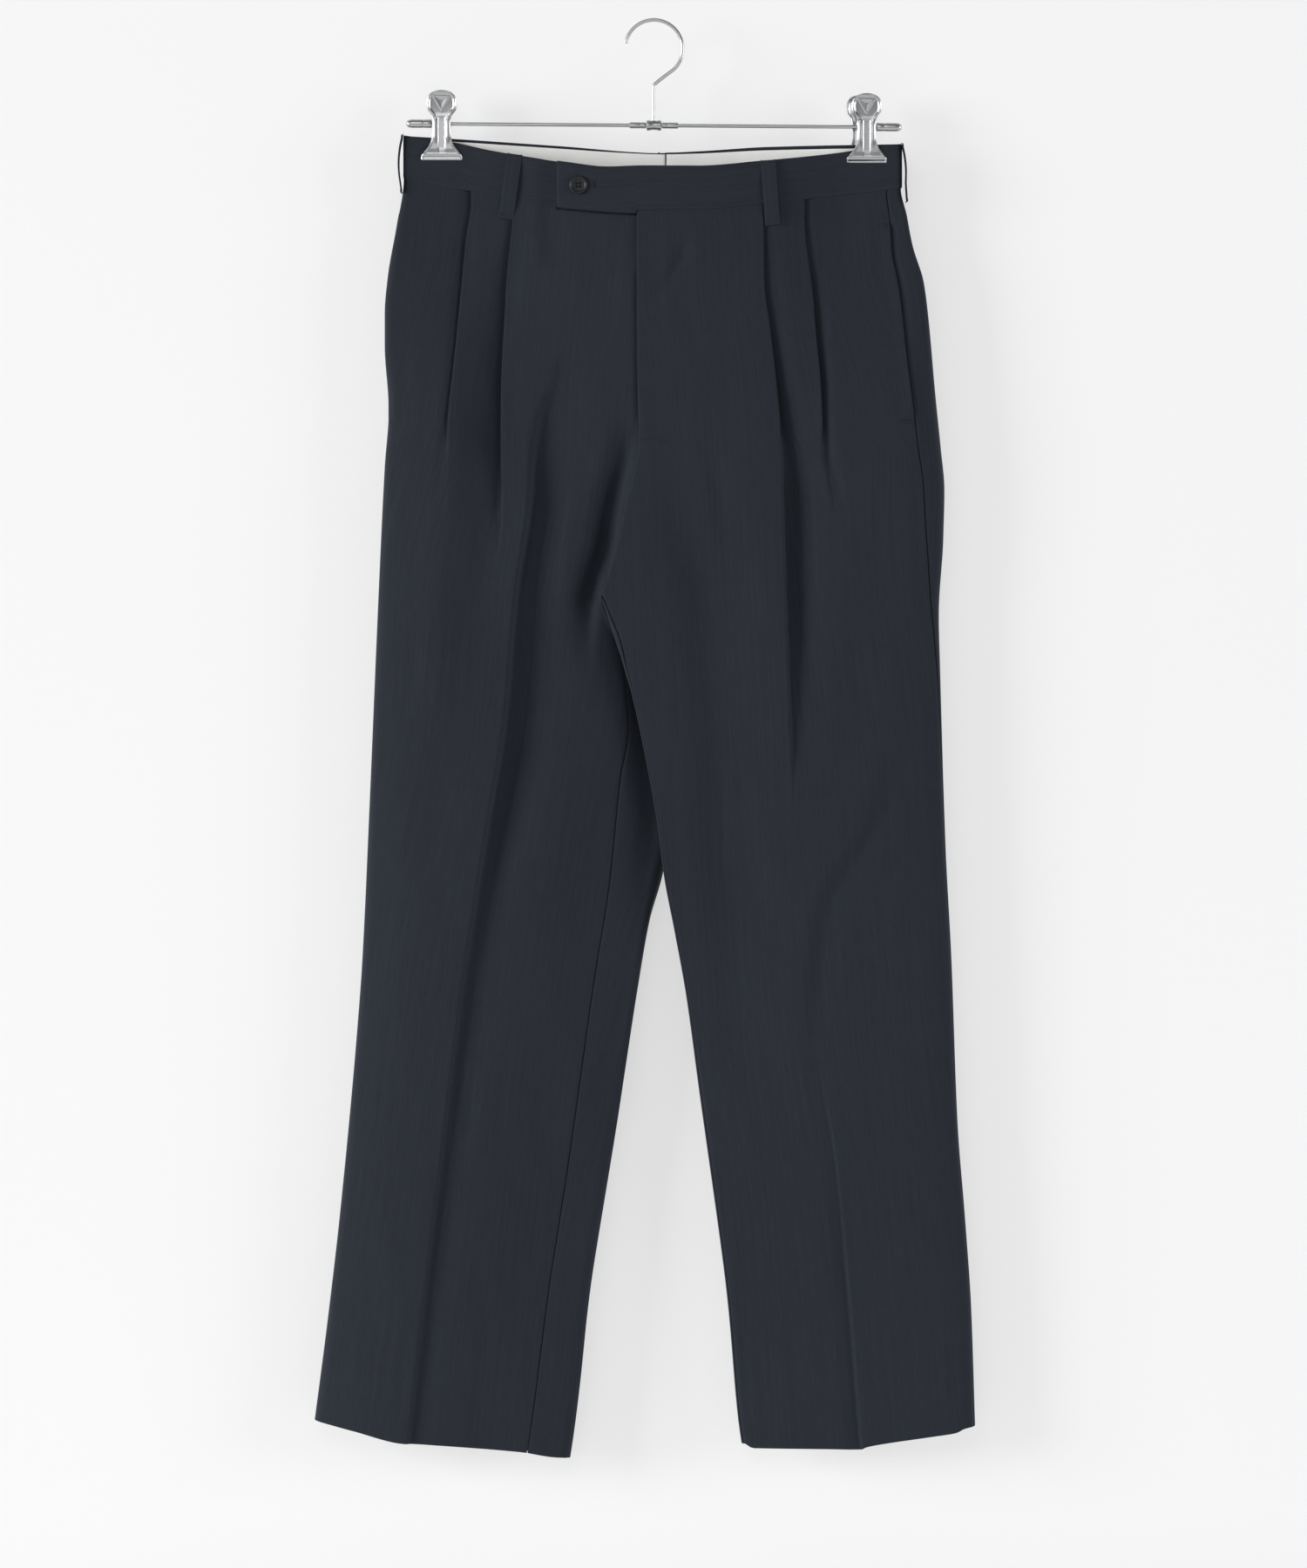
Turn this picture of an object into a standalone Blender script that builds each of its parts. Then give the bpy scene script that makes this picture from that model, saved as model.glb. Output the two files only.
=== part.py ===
"""Pleated dress trousers hanging by the waistband from a metal clip hanger.

Lengths below are millimetres; MM turns them into metres. +Z is up and the front faces -Y.
Heights count down from the origin, which is the underside of the hook's bend.
"right" and "left" are the wearer's, so the right leg lies at -X.
"""
import math
from collections import namedtuple

import bmesh
import bpy
from mathutils import Vector

MM = 0.001

# ---- cloth and seams -------------------------------------------------------------------------
CLOTH_WALL = 1.2        # worsted wool, drawn at the thinnest wall that stays solid
BAND_WALL = 2.0         # waistband: wool folded over a canvas
CURTAIN_WALL = 1.0      # light lining band inside the back of the waistband
LAYER_GAP = 0.35        # between two layers that lie on each other
SEAM_GAP = 0.4          # between two pieces that are sewn edge to edge
BAND_HEIGHT = 34.5
BAND_PROUD = 0.4        # the waistband stands this far outside the panels below it

# ---- heights ---------------------------------------------------------------------------------
WAIST = -126.0
CROTCH = -462.5
HEM = -1125.0
WAIST_CURVE_END = -330.0    # below this the rows of a panel run level
HEM_CURVE_START = -1000.0   # below this they tilt into the line of the hem
BOW_FADE = (-400.0, -130.0)     # between these the waist's bow turns into the creased leg
LEGS_PART = (-470.0, -436.0)    # between these the two legs close into tubes of their own
ROW_HEIGHTS = (
    -126, -138, -154, -174, -198, -225, -254, -283, -312, -340, -366, -392, -417, -440, -453, -462,
    -467, -478, -496, -516, -542, -572, -606, -642, -684, -730, -784, -844, -908, -972, -1032, -1084,
    -1125,
)

# ---- depth of the hanging cloth --------------------------------------------------------------
CLIP_X = 171.0          # half the distance between the two clips
PINCH = 3.0             # from the middle plane to the outside of a band that a clip holds
CLIP_JAW_HALF = 18.0
WAIST_BOW_FRONT = 17.0  # how far the front of the waist bows out between the clips
WAIST_BOW_BACK = 8.0
PLEAT_UNDERLAP = 10.0
PLEAT_STACK = 2.8       # from the top layer of a pleat down to its lowest one
PLEAT_LEAD = 13.0       # the cloth starts to dive under a pleat this far from its edge
PLEAT_TOP = 7.0         # the pleat's top layer is level from this far past its edge
PLEAT_OPEN = (-PLEAT_LEAD, -6.5, -4.0, -1.5, 1.5, PLEAT_TOP)    # its six stations once it has opened
TAB_DEPTH = 2.4         # the right half of the waist lies this far behind the tab
TAB_DIVE = (-96.0, -82.0)       # across these places the right half steps back under the tab
TAB_FADE = (-190.0, -160.0)     # between these heights that step dies out below the waistband
FLY_DEPTH = 1.7         # the right front lies this far behind the fly of the left one
FLY_DIVE = (-22.0, -4.0)        # it gets there over this stretch before the edge of the fly
FLY_RELEASE = (-464.0, -440.0)  # between these heights it comes free again at the crotch
TAB_END = -77.3         # free end of the waistband's tab
TAB_DROP = 2.6          # the tab's lower edge hangs this far below the seam
FLY_STEP = -14.3        # the tab's lower edge steps down here, just past the fly
BACK_SEAM_X = 9.2       # centre back seam at the waist
RIGHT_BAND_END = -4.0   # centre front end of the right waistband, under the tab

# ---- outlines of the waist: across, height ---------------------------------------------------
FRONT_WAIST = ((-201, -126), (-164, -133.5), (-123, -140), (-77, -147.5), (-12, -152.6), (35, -152.3),
               (85, -147.3), (145, -140), (184, -135.5), (203, -133))
FRONT_TOP = ((-201, -91.5), (-160, -97.3), (-133, -103.6), (-105, -108.9), (-69, -114.8), (-37, -118.6),
             (-10, -117.8), (35, -117.9), (85, -113.6), (145, -106.6), (182, -100.8), (203, -98.5))
BACK_TOP = ((-201, -91.5), (-77, -99), (9, -104.6), (35, -103.6), (91, -100.4), (179, -99), (203, -98.5))

# ---- one leg: each line is (height, across) --------------------------------------------------
Leg = namedtuple("Leg", "side inward outer seam_turn pleat_outer pleat_inner crease inseam inner "
                        "fly centre_back back_crease hem inner_depth flat_front flat_back")

RIGHT = Leg(
    side="right",
    inward=1,
    outer=((-91, -201), (-126, -201), (-160, -205.7), (-206, -213.6), (-234, -215.9), (-260, -215.9),
           (-309, -212.9), (-358, -216.3), (-482, -222.2), (-632, -228.6), (-752, -234.2), (-822, -239.4),
           (-962, -252.7), (-1032, -260.8), (-1125, -272.5)),
    seam_turn=((-126, 4.5), (-1125, 4.5)),
    pleat_outer=((-140, -145.9), (-167, -150.1), (-206, -153.6), (-260, -158.5), (-332, -165.5),
                 (-416, -170), (-462, -172), (-700, -186), (-1125, -238)),
    pleat_inner=((-147, -112.5), (-198, -117.2), (-234, -119), (-305, -121.7), (-388, -122), (-462, -130),
                 (-700, -160), (-1125, -214)),
    crease=((-126, -80), (-296, -93.1), (-388, -99.3), (-458, -106), (-563, -115.1), (-644, -129.2),
            (-736, -145.5), (-838, -160.6), (-979, -178.1), (-1140, -199.8)),
    inseam=((-462, -43.2), (-480, -37.5), (-514, -25), (-567, -20), (-609, -26.9), (-690, -35.3),
            (-773, -48.3), (-917, -68.6), (-1035, -87.1), (-1135, -103.2)),
    inner=((-462, -43.9), (-474, -37), (-492, -20), (-530, 4), (-580, 16), (-626, 16.5), (-684, 7.3),
           (-721, -2.4), (-775, -11.8), (-857, -24.4), (-1032, -53), (-1073, -58.4), (-1153, -71.3)),
    fly=((-126, -4), (-300, -4), (-340, -7), (-361, -12), (-395, -20.5), (-435, -31.5), (-450, -38.3),
         (-462, -43.2)),
    centre_back=((-126, 9.2), (-300, 2), (-395, -18.2), (-440, -35.5), (-462, -43.9)),
    back_crease=((-126, -96), (-460, -122), (-690, -112), (-1125, -168)),
    hem=((-273, -1122.8), (-240, -1131), (-200, -1140.6), (-191, -1141), (-107, -1148), (-79, -1152.6),
         (-71, -1153)),
    inner_depth=((-350, 0), (-430, -4.5), (-462, -6.5), (-470, -2), (-490, 6.5), (-510, 8), (-680, 7),
                 (-800, 2), (-1125, 0)),
    flat_front=((-360, 0), (-480, 30), (-660, 34), (-800, 6), (-1125, 4)),
    flat_back=((-440, 0), (-500, 8), (-1125, 4)),
)
LEFT = Leg(
    side="left",
    inward=-1,
    outer=((-91, 198.4), (-126, 198.4), (-148, 203.1), (-174, 208), (-203, 216.6), (-226, 219.7),
           (-305, 226.7), (-344, 230.6), (-376, 233.4), (-416, 232.5), (-477, 228.9), (-519, 229.9),
           (-664, 234.4), (-752, 239), (-883, 243.9), (-964, 250.2), (-1032, 254.9), (-1128, 258.2)),
    seam_turn=((-126, -13), (-162, -18), (-203, -24), (-245, -24), (-305, -22.5), (-376, -20), (-416, -16.5),
               (-483, -8), (-543, -4.5), (-640, -2), (-1125, -1.5)),
    pleat_outer=((-140, 120), (-155, 120.7), (-206, 126.3), (-246, 129.2), (-286, 132.7), (-350, 136.1),
                 (-374, 143.1), (-458, 152), (-700, 172), (-1125, 212)),
    pleat_inner=((-147, 87.1), (-197, 87.8), (-236, 92), (-315, 99.8), (-354, 102.9), (-447, 107.2),
                 (-543, 113), (-682, 117.9), (-808, 127), (-917, 142.4), (-1026, 153.6), (-1145, 164.8)),
    crease=(),
    inseam=((-462, -41), (-480, -30), (-511, -20.6), (-544, -12), (-597, 0), (-643, 7), (-690, 14),
            (-781, 29), (-857, 41), (-1032, 64), (-1142, 78)),
    inner=((-462, -42.8), (-476, -38.1), (-511, -26.6), (-544, -17.1), (-597, -5.9), (-643, 2.4),
           (-686, 7.8), (-731, 16.4), (-781, 25.5), (-857, 36), (-1032, 59.8), (-1106, 67.5), (-1142, 73.1)),
    fly=((-126, -13.6), (-265, -13.3), (-340, -12.2), (-361, -16.1), (-395, -24.1), (-435, -33.5),
         (-462, -42.8)),
    centre_back=((-126, 9.2), (-300, 2), (-395, -18), (-440, -35), (-462, -42.6)),
    back_crease=((-126, 103), (-460, 98), (-690, 118), (-1125, 165)),
    hem=((73, -1141.7), (80, -1145.2), (144, -1145.6), (165, -1145.9), (171, -1143.8), (186, -1141),
         (225, -1135.4), (243, -1132.6), (249, -1129.6), (258, -1127.7)),
    inner_depth=((-300, 0), (-380, -3), (-430, -7), (-462, -9.5), (-490, -11), (-680, -10), (-800, -2),
                 (-1125, 0)),
    flat_front=((-440, 0), (-480, 4), (-1125, 4)),
    flat_back=((-360, 0), (-480, 40), (-680, 40), (-800, 6), (-1125, 4)),
)

# ---- depths along the height: (height, depth) ------------------------------------------------
TURN_RADIUS = ((-126, 3.0), (-200, 5.0), (-1125, 5.0))
FRONT_LIFT = ((-126, 12), (-300, 15), (-460, 17), (-700, 17), (-1125, 13))
BACK_LIFT = ((-126, 9), (-200, 14), (-330, 22), (-460, 18), (-700, 17), (-1125, 14))
FRONT_INNER = ((-126, 17), (-250, 15), (-340, 11), (-400, 7), (-440, 4.5), (-462, 3), (-490, 0), (-1125, 0))
BACK_INNER = ((-126, 9), (-250, 12), (-340, 10), (-430, 3), (-455, -2), (-480, 0), (-1125, 0))
UNDERLAP = ((-126, 1.0), (-200, 0.8), (-262, 0.45), (-318, 0.2))
PLEAT_FADE = ((-126, 1.0), (-318, 1.0), (-344, 0.45), (-380, 0.2), (-420, 0.0), (-1125, 0.0))

# ---- how each wall is divided between its named lines ----------------------------------------
RIM = 0.9                               # last strip along a seam, so that both rims stay parallel
FRONT_RIM = 0.6                         # the same at the fly, at centre back and at the inseam
TURN_RUNS = (1.5, -1.5, -5.0, -10.0)    # walks round the right side's turn, from the back forwards
TURN_STEPS = (0.0, RIM, 3.0, 7.5)       # steps away from the left side's seam
CREASED_SHARES = (0.25, 0.5, 0.75, 0.93)        # from the crease to the fly or the inseam
PLAIN_SHARES = (0.2, 0.4, 0.6, 0.8, 0.95)       # the same where the inner pleat is the crease
BACK_TURN_END = 9.0                     # the back's turn at the side ends this far round
BACK_TURN_SHARES = (0.3, 0.55, 0.8, 1.0)
BACK_SHARES = (0.17, 0.34, 0.5, 0.66, 0.83, 1.0)
CENTRE_REACH = 22.0                     # the strip along centre back or the inner turn
CENTRE_STEPS = (16.0, 11.0, 6.0, 3.0, FRONT_RIM, 0.0)
INNER_RUNS = (10.0, 3.5, 0.0)           # walks round the inner turn, from the back to its tip
BAND_STEP = 18.0                        # distance between the waistband's stations in front
BAND_TURN = (5.0, 2.2, 0.6)             # reaches round its turn at the side
BAND_SIDE = 10.0
BAND_BACK_STEPS = 11
CURTAIN_START = 185.0                   # the curtain ends here, at the sides
CURTAIN_STEPS = 12
CURTAIN_LEVELS = (-0.45, 0.2, 0.92)     # shares of the waistband's height

# ---- belt loops, fly shield, pocket facing, button --------------------------------------------
LOOP_WIDTH = 12.0
LOOP_BOW = 1.6
LOOP_LIFT = 0.4             # a loop's ends are turned in, so it stands this much further out
LOOP_BELOW = 18.0
LOOP_LEVELS = (0.0, 0.12, 0.35, 0.6, 0.85, 1.0)
# name, place of its upper end, place of its lower end, on the back
BELT_LOOPS = (("loop_front_right", -111.5, -118.5, False), ("loop_front_left", 91.5, 95.0, False),
              ("loop_back", BACK_SEAM_X, BACK_SEAM_X, True))
SIDE_LOOP_BOW = 2.4
SIDE_LOOP_BELOW = 11.0
SIDE_LOOP_LEVELS = (0.0, 0.15, 0.4, 0.7, 0.9, 1.0)
SHIELD_HEIGHTS = (-138, -170, -210, -250, -290, -325)
SHIELD_PLACES = (-3, 8, 20, 32)         # from the fly's edge towards the left
SHIELD_CLEARANCE = 0.6
FACING_HEIGHTS = (-142, -170, -200, -230, -260, -290, -318)
FACING_START = 8.0                      # it starts at least this far forward of the turn's tip
FACING_STEPS = (3.0, 9.0, 16.0, 24.0)
BUTTON_X = -60.5
BUTTON_HEIGHT = -133.0
BUTTON_RADIUS = 7.4
BUTTON_THICKNESS = 2.6
BUTTON_SHANK = 0.2          # the thread holds it this much further off the tab
BUTTON_HOLE = 0.9           # radius of one of its four holes
BUTTON_HOLE_RING = 1.9      # they lie on a ring of this radius

# ---- hanger ----------------------------------------------------------------------------------
WIRE_RADIUS = 1.5
HOOK_RADIUS = 23.1      # middle line of the hook's bend
HOOK_TIP_ANGLE = 169.0
HOOK_NECK_ANGLE = -47.0
HOOK_STEPS = 21
NECK_SHARES = (0.35, 0.7, 0.9)  # places on the slant from the bend back to the stem
STEM_TOP = -50.8
STEM_BEND = 2.5
BAR_HEIGHT = -83.3      # middle line of the bar under the hook
BAR_TILT = 0.0075       # the bar drops this much for each unit to the right
BAR_END = 190.0
KNUCKLE_HALF = 6.0
KNUCKLE_RADIUS = 4.3
SLEEVE_END = 19.5
SLEEVE_RADIUS = 2.5
BORE = 1.8
TUBE_CHAMFER = 0.5
CAP_INNER = 178.5
CAP_OUTER = 199.0
CAP_RADIUS = 3.5
CLIP_PLATE = 1.2
CLIP_BARREL_HALF = 7.0
CLIP_BARREL_RADIUS = 3.0
Clip = namedtuple("Clip", "name across")
CLIPS = (Clip("right", -170.5), Clip("left", 170.8))
# outline of one clip plate, from its middle line outwards: across, height above the bar
CLIP_OUTLINE = ((0, 26.5), (5.5, 25.8), (9.5, 23), (12, 17.5), (11.6, 12), (9.0, 8.5), (7.5, 4.5), (7.3, -6),
                (8.0, -13), (10.5, -19), (16.2, -26.5), (16.4, -29.5), (0, -29.5))

Finish = namedtuple("Finish", "red green blue roughness metallic")
FINISHES = {
    "wool": Finish(0.020, 0.023, 0.030, 0.85, 0.0),
    "curtain": Finish(0.80, 0.80, 0.76, 0.80, 0.0),
    "pocketing": Finish(0.020, 0.023, 0.030, 0.85, 0.0),
    "button": Finish(0.030, 0.030, 0.035, 0.35, 0.0),
    "steel": Finish(0.62, 0.63, 0.64, 0.25, 1.0),
}


# ================================ helpers =====================================================
def smooth_step(value, start, end):
    """0 at start, 1 at end, level at both."""
    t = min(1.0, max(0.0, (value - start) / (end - start)))
    return t * t * (3.0 - 2.0 * t)


def mix(a, b, share):
    return a + (b - a) * share


def along(line, at):
    """Value at one place of a line of (place, value) pairs, smooth and without overshoot."""
    points = sorted(line)
    if at <= points[0][0]:
        return points[0][1]
    if at >= points[-1][0]:
        return points[-1][1]
    k = max(i for i in range(len(points) - 1) if points[i][0] <= at)
    slopes = [(b[1] - a[1]) / (b[0] - a[0]) for a, b in zip(points, points[1:])]

    def tangent(i):
        if i == 0:
            return slopes[0]
        if i == len(slopes):
            return slopes[-1]
        if slopes[i - 1] * slopes[i] <= 0.0:
            return 0.0
        return 2.0 * slopes[i - 1] * slopes[i] / (slopes[i - 1] + slopes[i])

    width = points[k + 1][0] - points[k][0]
    t = (at - points[k][0]) / width
    return (points[k][1] * (1 + 2 * t) * (1 - t) ** 2 + points[k + 1][1] * t * t * (3 - 2 * t)
            + width * (tangent(k) * t * (1 - t) ** 2 - tangent(k + 1) * t * t * (1 - t)))


def material(name):
    """One Principled material for each finish, made once."""
    if name in bpy.data.materials:
        return bpy.data.materials[name]
    finish = FINISHES[name]
    made = bpy.data.materials.new(name)
    made.use_nodes = True
    shader = made.node_tree.nodes["Principled BSDF"]
    shader.inputs["Base Color"].default_value = (finish.red, finish.green, finish.blue, 1.0)
    shader.inputs["Roughness"].default_value = finish.roughness
    shader.inputs["Metallic"].default_value = finish.metallic
    return made


def add_object(name, data, finish):
    """Put a new object for this data in the part's collection, with its own material."""
    obj = bpy.data.objects.new(name, data)
    bpy.data.collections["trousers_on_hanger"].objects.link(obj)
    data.materials.append(material(finish))
    return obj


def cloth_sheet(name, rows, wall, finish, outward, column=None):
    """A wall of cloth: an open grid on its outer face, thickened inwards by Solidify.

    rows holds lists of points in millimetres; outward is the way that this column faces.
    """
    bm = bmesh.new()
    bmesh.ops.create_grid(bm, x_segments=len(rows[0]) - 1, y_segments=len(rows) - 1, size=1.0)
    bm.verts.ensure_lookup_table()
    points = [point for row in rows for point in row]
    for vert, point in zip(bm.verts, points):
        vert.co = Vector(point) * MM
    bm.normal_update()
    bm.faces.ensure_lookup_table()
    quads = len(rows[0]) - 1
    column = quads // 2 if column is None else column
    seen = bm.faces[(len(rows) - 1) // 2 * quads + column]
    if seen.normal.dot(Vector(outward)) < 0.0:
        bmesh.ops.reverse_faces(bm, faces=bm.faces)
    mesh = bpy.data.meshes.new(name)
    bm.to_mesh(mesh)
    bm.free()
    mesh.shade_smooth()
    obj = add_object(name, mesh, finish)
    shell = obj.modifiers.new("cloth wall", "SOLIDIFY")
    shell.thickness = wall * MM
    shell.offset = -1.0
    return obj


# ================================ the hanging form ============================================
def row_height(leg, across, height, back=False):
    """A panel's row follows the waist seam at its top and the hem at its foot."""
    waist = along(BACK_TOP, across) - BAND_HEIGHT if back else along(FRONT_WAIST, across)
    top_share = 1.0 - smooth_step(-height, -WAIST, -WAIST_CURVE_END)
    hem_share = smooth_step(-height, -HEM_CURVE_START, -HEM)
    hem = along(leg.hem, across)
    return height + (waist - SEAM_GAP - WAIST) * top_share + (hem - HEM) * hem_share


def turn_depth(distance, radius):
    """Depth of a round turn of the cloth, by the distance from its outermost line."""
    if distance >= radius:
        return radius
    reach = 1.0 - max(0.0, distance) / radius
    return radius * math.sqrt(1.0 - reach * reach)


def turn_reach(run, radius):
    """How far inwards a walk of this length round the turn gets."""
    quarter = radius * math.pi / 2.0
    if abs(run) < quarter:
        return radius * (1.0 - math.cos(run / radius))
    return radius + abs(run) - quarter


def tent(distance, span, flat):
    """0 at the edge, 1 at the crease, a little bowed between them."""
    t = min(1.0, max(0.0, (distance - flat) / max(1.0, span - flat)))
    return t * (1.25 - 0.25 * t)


def ridge(leg, across, height, back):
    """Depth outside the turns: a ridge at the crease, falling to both edges of the leg."""
    outer = along(leg.outer, height)
    closed = height < CROTCH
    inner = along(leg.inner, height) if closed else along(leg.fly, height)
    if back:
        if not closed:
            inner = along(leg.centre_back, height)
        crease = along(leg.back_crease, height)
        lift = along(BACK_LIFT, height)
        inner_depth = along(BACK_INNER, height)
        flat = along(leg.flat_back, height)
    else:
        crease = along(leg.crease or leg.pleat_inner, height)
        lift = along(FRONT_LIFT, height)
        inner_depth = along(FRONT_INNER, height)
        flat = along(leg.flat_front, height)
    if (across - crease) * leg.inward < 0.0:
        return lift * tent(abs(across - outer), abs(crease - outer), 0.0)
    share = tent(abs(inner - across), abs(inner - crease), flat)
    if (across - inner) * leg.inward > 0.0:
        share = 0.0
    return mix(inner_depth, lift, share)


def waist_bow(across, back):
    """Depth of the waist between the clips; beyond them it lies flat."""
    reach = min(1.0, abs(across) / (CLIP_X - CLIP_JAW_HALF))
    return (WAIST_BOW_BACK if back else WAIST_BOW_FRONT) * (1.0 - reach * reach) ** 0.8


def surface_y(leg, across, height, back):
    """Outer face of the front or the back at one place of the leg."""
    radius = along(TURN_RADIUS, height)
    turn = turn_depth(abs(across - along(leg.outer, height)), radius)
    tube = 1.0 - smooth_step(height, *LEGS_PART)
    inner = along(leg.inner, height)
    inner_turn = turn_depth((inner - across) * leg.inward, radius)
    turn = min(turn, mix(radius, inner_turn, tube))
    outer = along(leg.outer, height)
    share = min(1.0, max(0.0, (across - outer) / (inner - outer)))
    middle = along(leg.inner_depth, height) * share * share
    hang = 1.0 - smooth_step(height, *BOW_FADE)
    depth = mix(waist_bow(across, back), ridge(leg, across, height, back), hang)
    return middle + (turn + depth) * (1 if back else -1)


def right_front_y(across, height):
    """Outer face of the right front, which lies behind the tab and the fly of the left one."""
    y = surface_y(RIGHT, across, height, False)
    tab = TAB_DEPTH * smooth_step(across, *TAB_DIVE) * smooth_step(height, *TAB_FADE)
    to_fly = across - along(LEFT.fly, height)
    follow = smooth_step(to_fly, *FLY_DIVE) * smooth_step(height, *FLY_RELEASE)
    under = surface_y(LEFT, across, height, False) + FLY_DEPTH
    return max(y + tab, mix(y + tab, under, follow))


def on_panel(leg, across, height, back=False, sink=0.0):
    """Point on a panel's outer face, sunk by a depth, in its row's true height."""
    level = row_height(leg, across, height, back)
    if leg is RIGHT and not back:
        y = right_front_y(across, height)
    else:
        y = surface_y(leg, across, height, back)
    return (across, y - sink * (1 if back else -1), level)


# ================================ panels ======================================================
def pleat_stations(leg, edge, height):
    """Six stations over one pleat, whose fold faces the pocket: lead, two turns, top."""
    sign = leg.inward
    fade = along(PLEAT_FADE, height)
    under = PLEAT_UNDERLAP * along(UNDERLAP, height)
    folded = ((-PLEAT_LEAD, 0.0), (under, PLEAT_STACK), (under, PLEAT_STACK - LAYER_GAP),
              (0.0, PLEAT_STACK - LAYER_GAP), (0.0, 0.0), (PLEAT_TOP, 0.0))
    stations = []
    for (fold_x, fold_sink), open_x in zip(folded, PLEAT_OPEN):
        offset = mix(open_x, fold_x, fade)
        across = edge + sign * offset
        y = on_panel(leg, edge + sign * min(0.0, offset), height, sink=fold_sink * fade)[1]
        stations.append((across, y, row_height(leg, across, height)))
    return stations


def outer_turn(leg, run, height):
    """Point on the round turn at the outer side; run is counted from its tip, back is positive."""
    radius = along(TURN_RADIUS, height)
    across = along(leg.outer, height) + leg.inward * turn_reach(run, radius)
    return on_panel(leg, across, height, back=run > 0.0)


def inner_turn(leg, run, height):
    """Point on the round turn at the inner side of the leg."""
    radius = along(TURN_RADIUS, height)
    across = along(leg.inner, height) - leg.inward * turn_reach(run, radius)
    return on_panel(leg, across, height, back=run > 0.0)


def front_row(leg, height):
    """Stations of the front panel from the side seam to the fly or the inseam."""
    seam = along(leg.seam_turn, height)
    half_gap = SEAM_GAP / 2.0
    if leg is RIGHT:
        runs = (seam - half_gap, seam - RIM) + TURN_RUNS
    else:
        runs = [seam - half_gap - step for step in TURN_STEPS]
    row = [outer_turn(leg, run, height) for run in runs]
    pleat_a = along(leg.pleat_outer, height)
    pleat_b = along(leg.pleat_inner, height)
    start = row[-1][0]
    row.append(on_panel(leg, mix(start, pleat_a - leg.inward * PLEAT_LEAD, 0.5), height))
    row += pleat_stations(leg, pleat_a, height)
    row += pleat_stations(leg, pleat_b, height)
    if height > CROTCH:
        end = along(leg.fly, height)
    else:
        end = along(leg.inseam, height)
    if leg.crease:
        crease = along(leg.crease, height)
        row.append(on_panel(leg, mix(row[-1][0], crease, 0.5), height))
        row.append(on_panel(leg, crease, height))
        shares = CREASED_SHARES
    else:
        shares = PLAIN_SHARES
    crease = row[-1][0]
    for share in shares:
        row.append(on_panel(leg, mix(crease, end, share), height))
    row.append(on_panel(leg, end - leg.inward * (half_gap + FRONT_RIM), height))
    row.append(on_panel(leg, end - leg.inward * half_gap, height))
    return row


def back_row(leg, height):
    """Stations of the back panel from the side seam round the back to centre back or inseam."""
    seam = along(leg.seam_turn, height)
    half_gap = SEAM_GAP / 2.0
    start = seam + half_gap
    runs = [start, start + RIM] + [mix(start, BACK_TURN_END, share) for share in BACK_TURN_SHARES]
    row = [outer_turn(leg, run, height) for run in runs]
    first = row[-1][0]
    if height > CROTCH:
        centre = along(leg.centre_back, height) - leg.inward * half_gap
        last = centre - leg.inward * CENTRE_REACH
        tail = [on_panel(leg, centre - leg.inward * step, height, back=True) for step in CENTRE_STEPS]
    else:
        centre = along(leg.inner, height)
        reach = abs(centre - along(leg.inseam, height))
        radius = along(TURN_RADIUS, height)
        edge = -(reach - radius + radius * math.pi / 2.0) if reach > radius else -reach
        edge += half_gap
        last = centre - leg.inward * CENTRE_REACH
        runs = INNER_RUNS + (0.45 * edge, min(edge + RIM, 0.9 * edge), edge)
        tail = [inner_turn(leg, run, height) for run in runs]
    for share in BACK_SHARES:
        row.append(on_panel(leg, mix(first, last, share), height, back=True))
    return row + tail


def make_panels(leg):
    """The front and the back of one leg, each a sheet cut from hem to waist."""
    front = [front_row(leg, height) for height in ROW_HEIGHTS]
    back = [back_row(leg, height) for height in ROW_HEIGHTS]
    cloth_sheet("front_" + leg.side, front, CLOTH_WALL, "wool", (0, -1, 0))
    cloth_sheet("back_" + leg.side, back, CLOTH_WALL, "wool", (0, 1, 0))


# ================================ waistband ===================================================
def band_point(across, share, back, sink=0.0):
    """Point on the waistband's outer face; share runs from its lower edge to its top."""
    leg = RIGHT if across < 0.0 else LEFT
    radius = PINCH + BAND_PROUD
    outer = along(leg.outer, WAIST) - leg.inward * BAND_PROUD
    turn = turn_depth(abs(across - outer), radius)
    depth = turn + waist_bow(across, back) - sink
    back_low = along(BACK_TOP, across) - BAND_HEIGHT
    front_low = along(FRONT_WAIST, across)
    low = back_low if back else front_low
    high = along(BACK_TOP, across) if back else along(FRONT_TOP, across)
    return (across, depth * (1 if back else -1), mix(low, high, share))


def band_stations(leg, front_end):
    """Places along one half of the waistband: from its front end round to centre back."""
    outer = along(leg.outer, WAIST) - leg.inward * BAND_PROUD
    start = outer + leg.inward * BAND_SIDE
    count = int(abs(front_end - start) / BAND_STEP)
    places = [mix(front_end, start, i / count) for i in range(count + 1)]
    flat = -leg.inward * (CLIP_X - CLIP_JAW_HALF)
    places = [x for x in places if abs(x - flat) > 4.0] + [flat]
    if leg is LEFT:
        step = SEAM_GAP / 2.0
        places = [x for x in places if abs(x - FLY_STEP) > 6.0]
        places += [FLY_STEP - 4.0, FLY_STEP - step, FLY_STEP + step]
    front = [(x, False) for x in sorted(places, reverse=leg is RIGHT)]
    turn = [(outer + leg.inward * reach, False) for reach in BAND_TURN]
    turn += [(outer, True)]
    turn += [(outer + leg.inward * reach, True) for reach in reversed(BAND_TURN)]
    centre = BACK_SEAM_X - leg.inward * SEAM_GAP / 2.0
    back = [(mix(start, centre, i / BAND_BACK_STEPS), True) for i in range(BAND_BACK_STEPS + 1)]
    return front + turn + back


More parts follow.
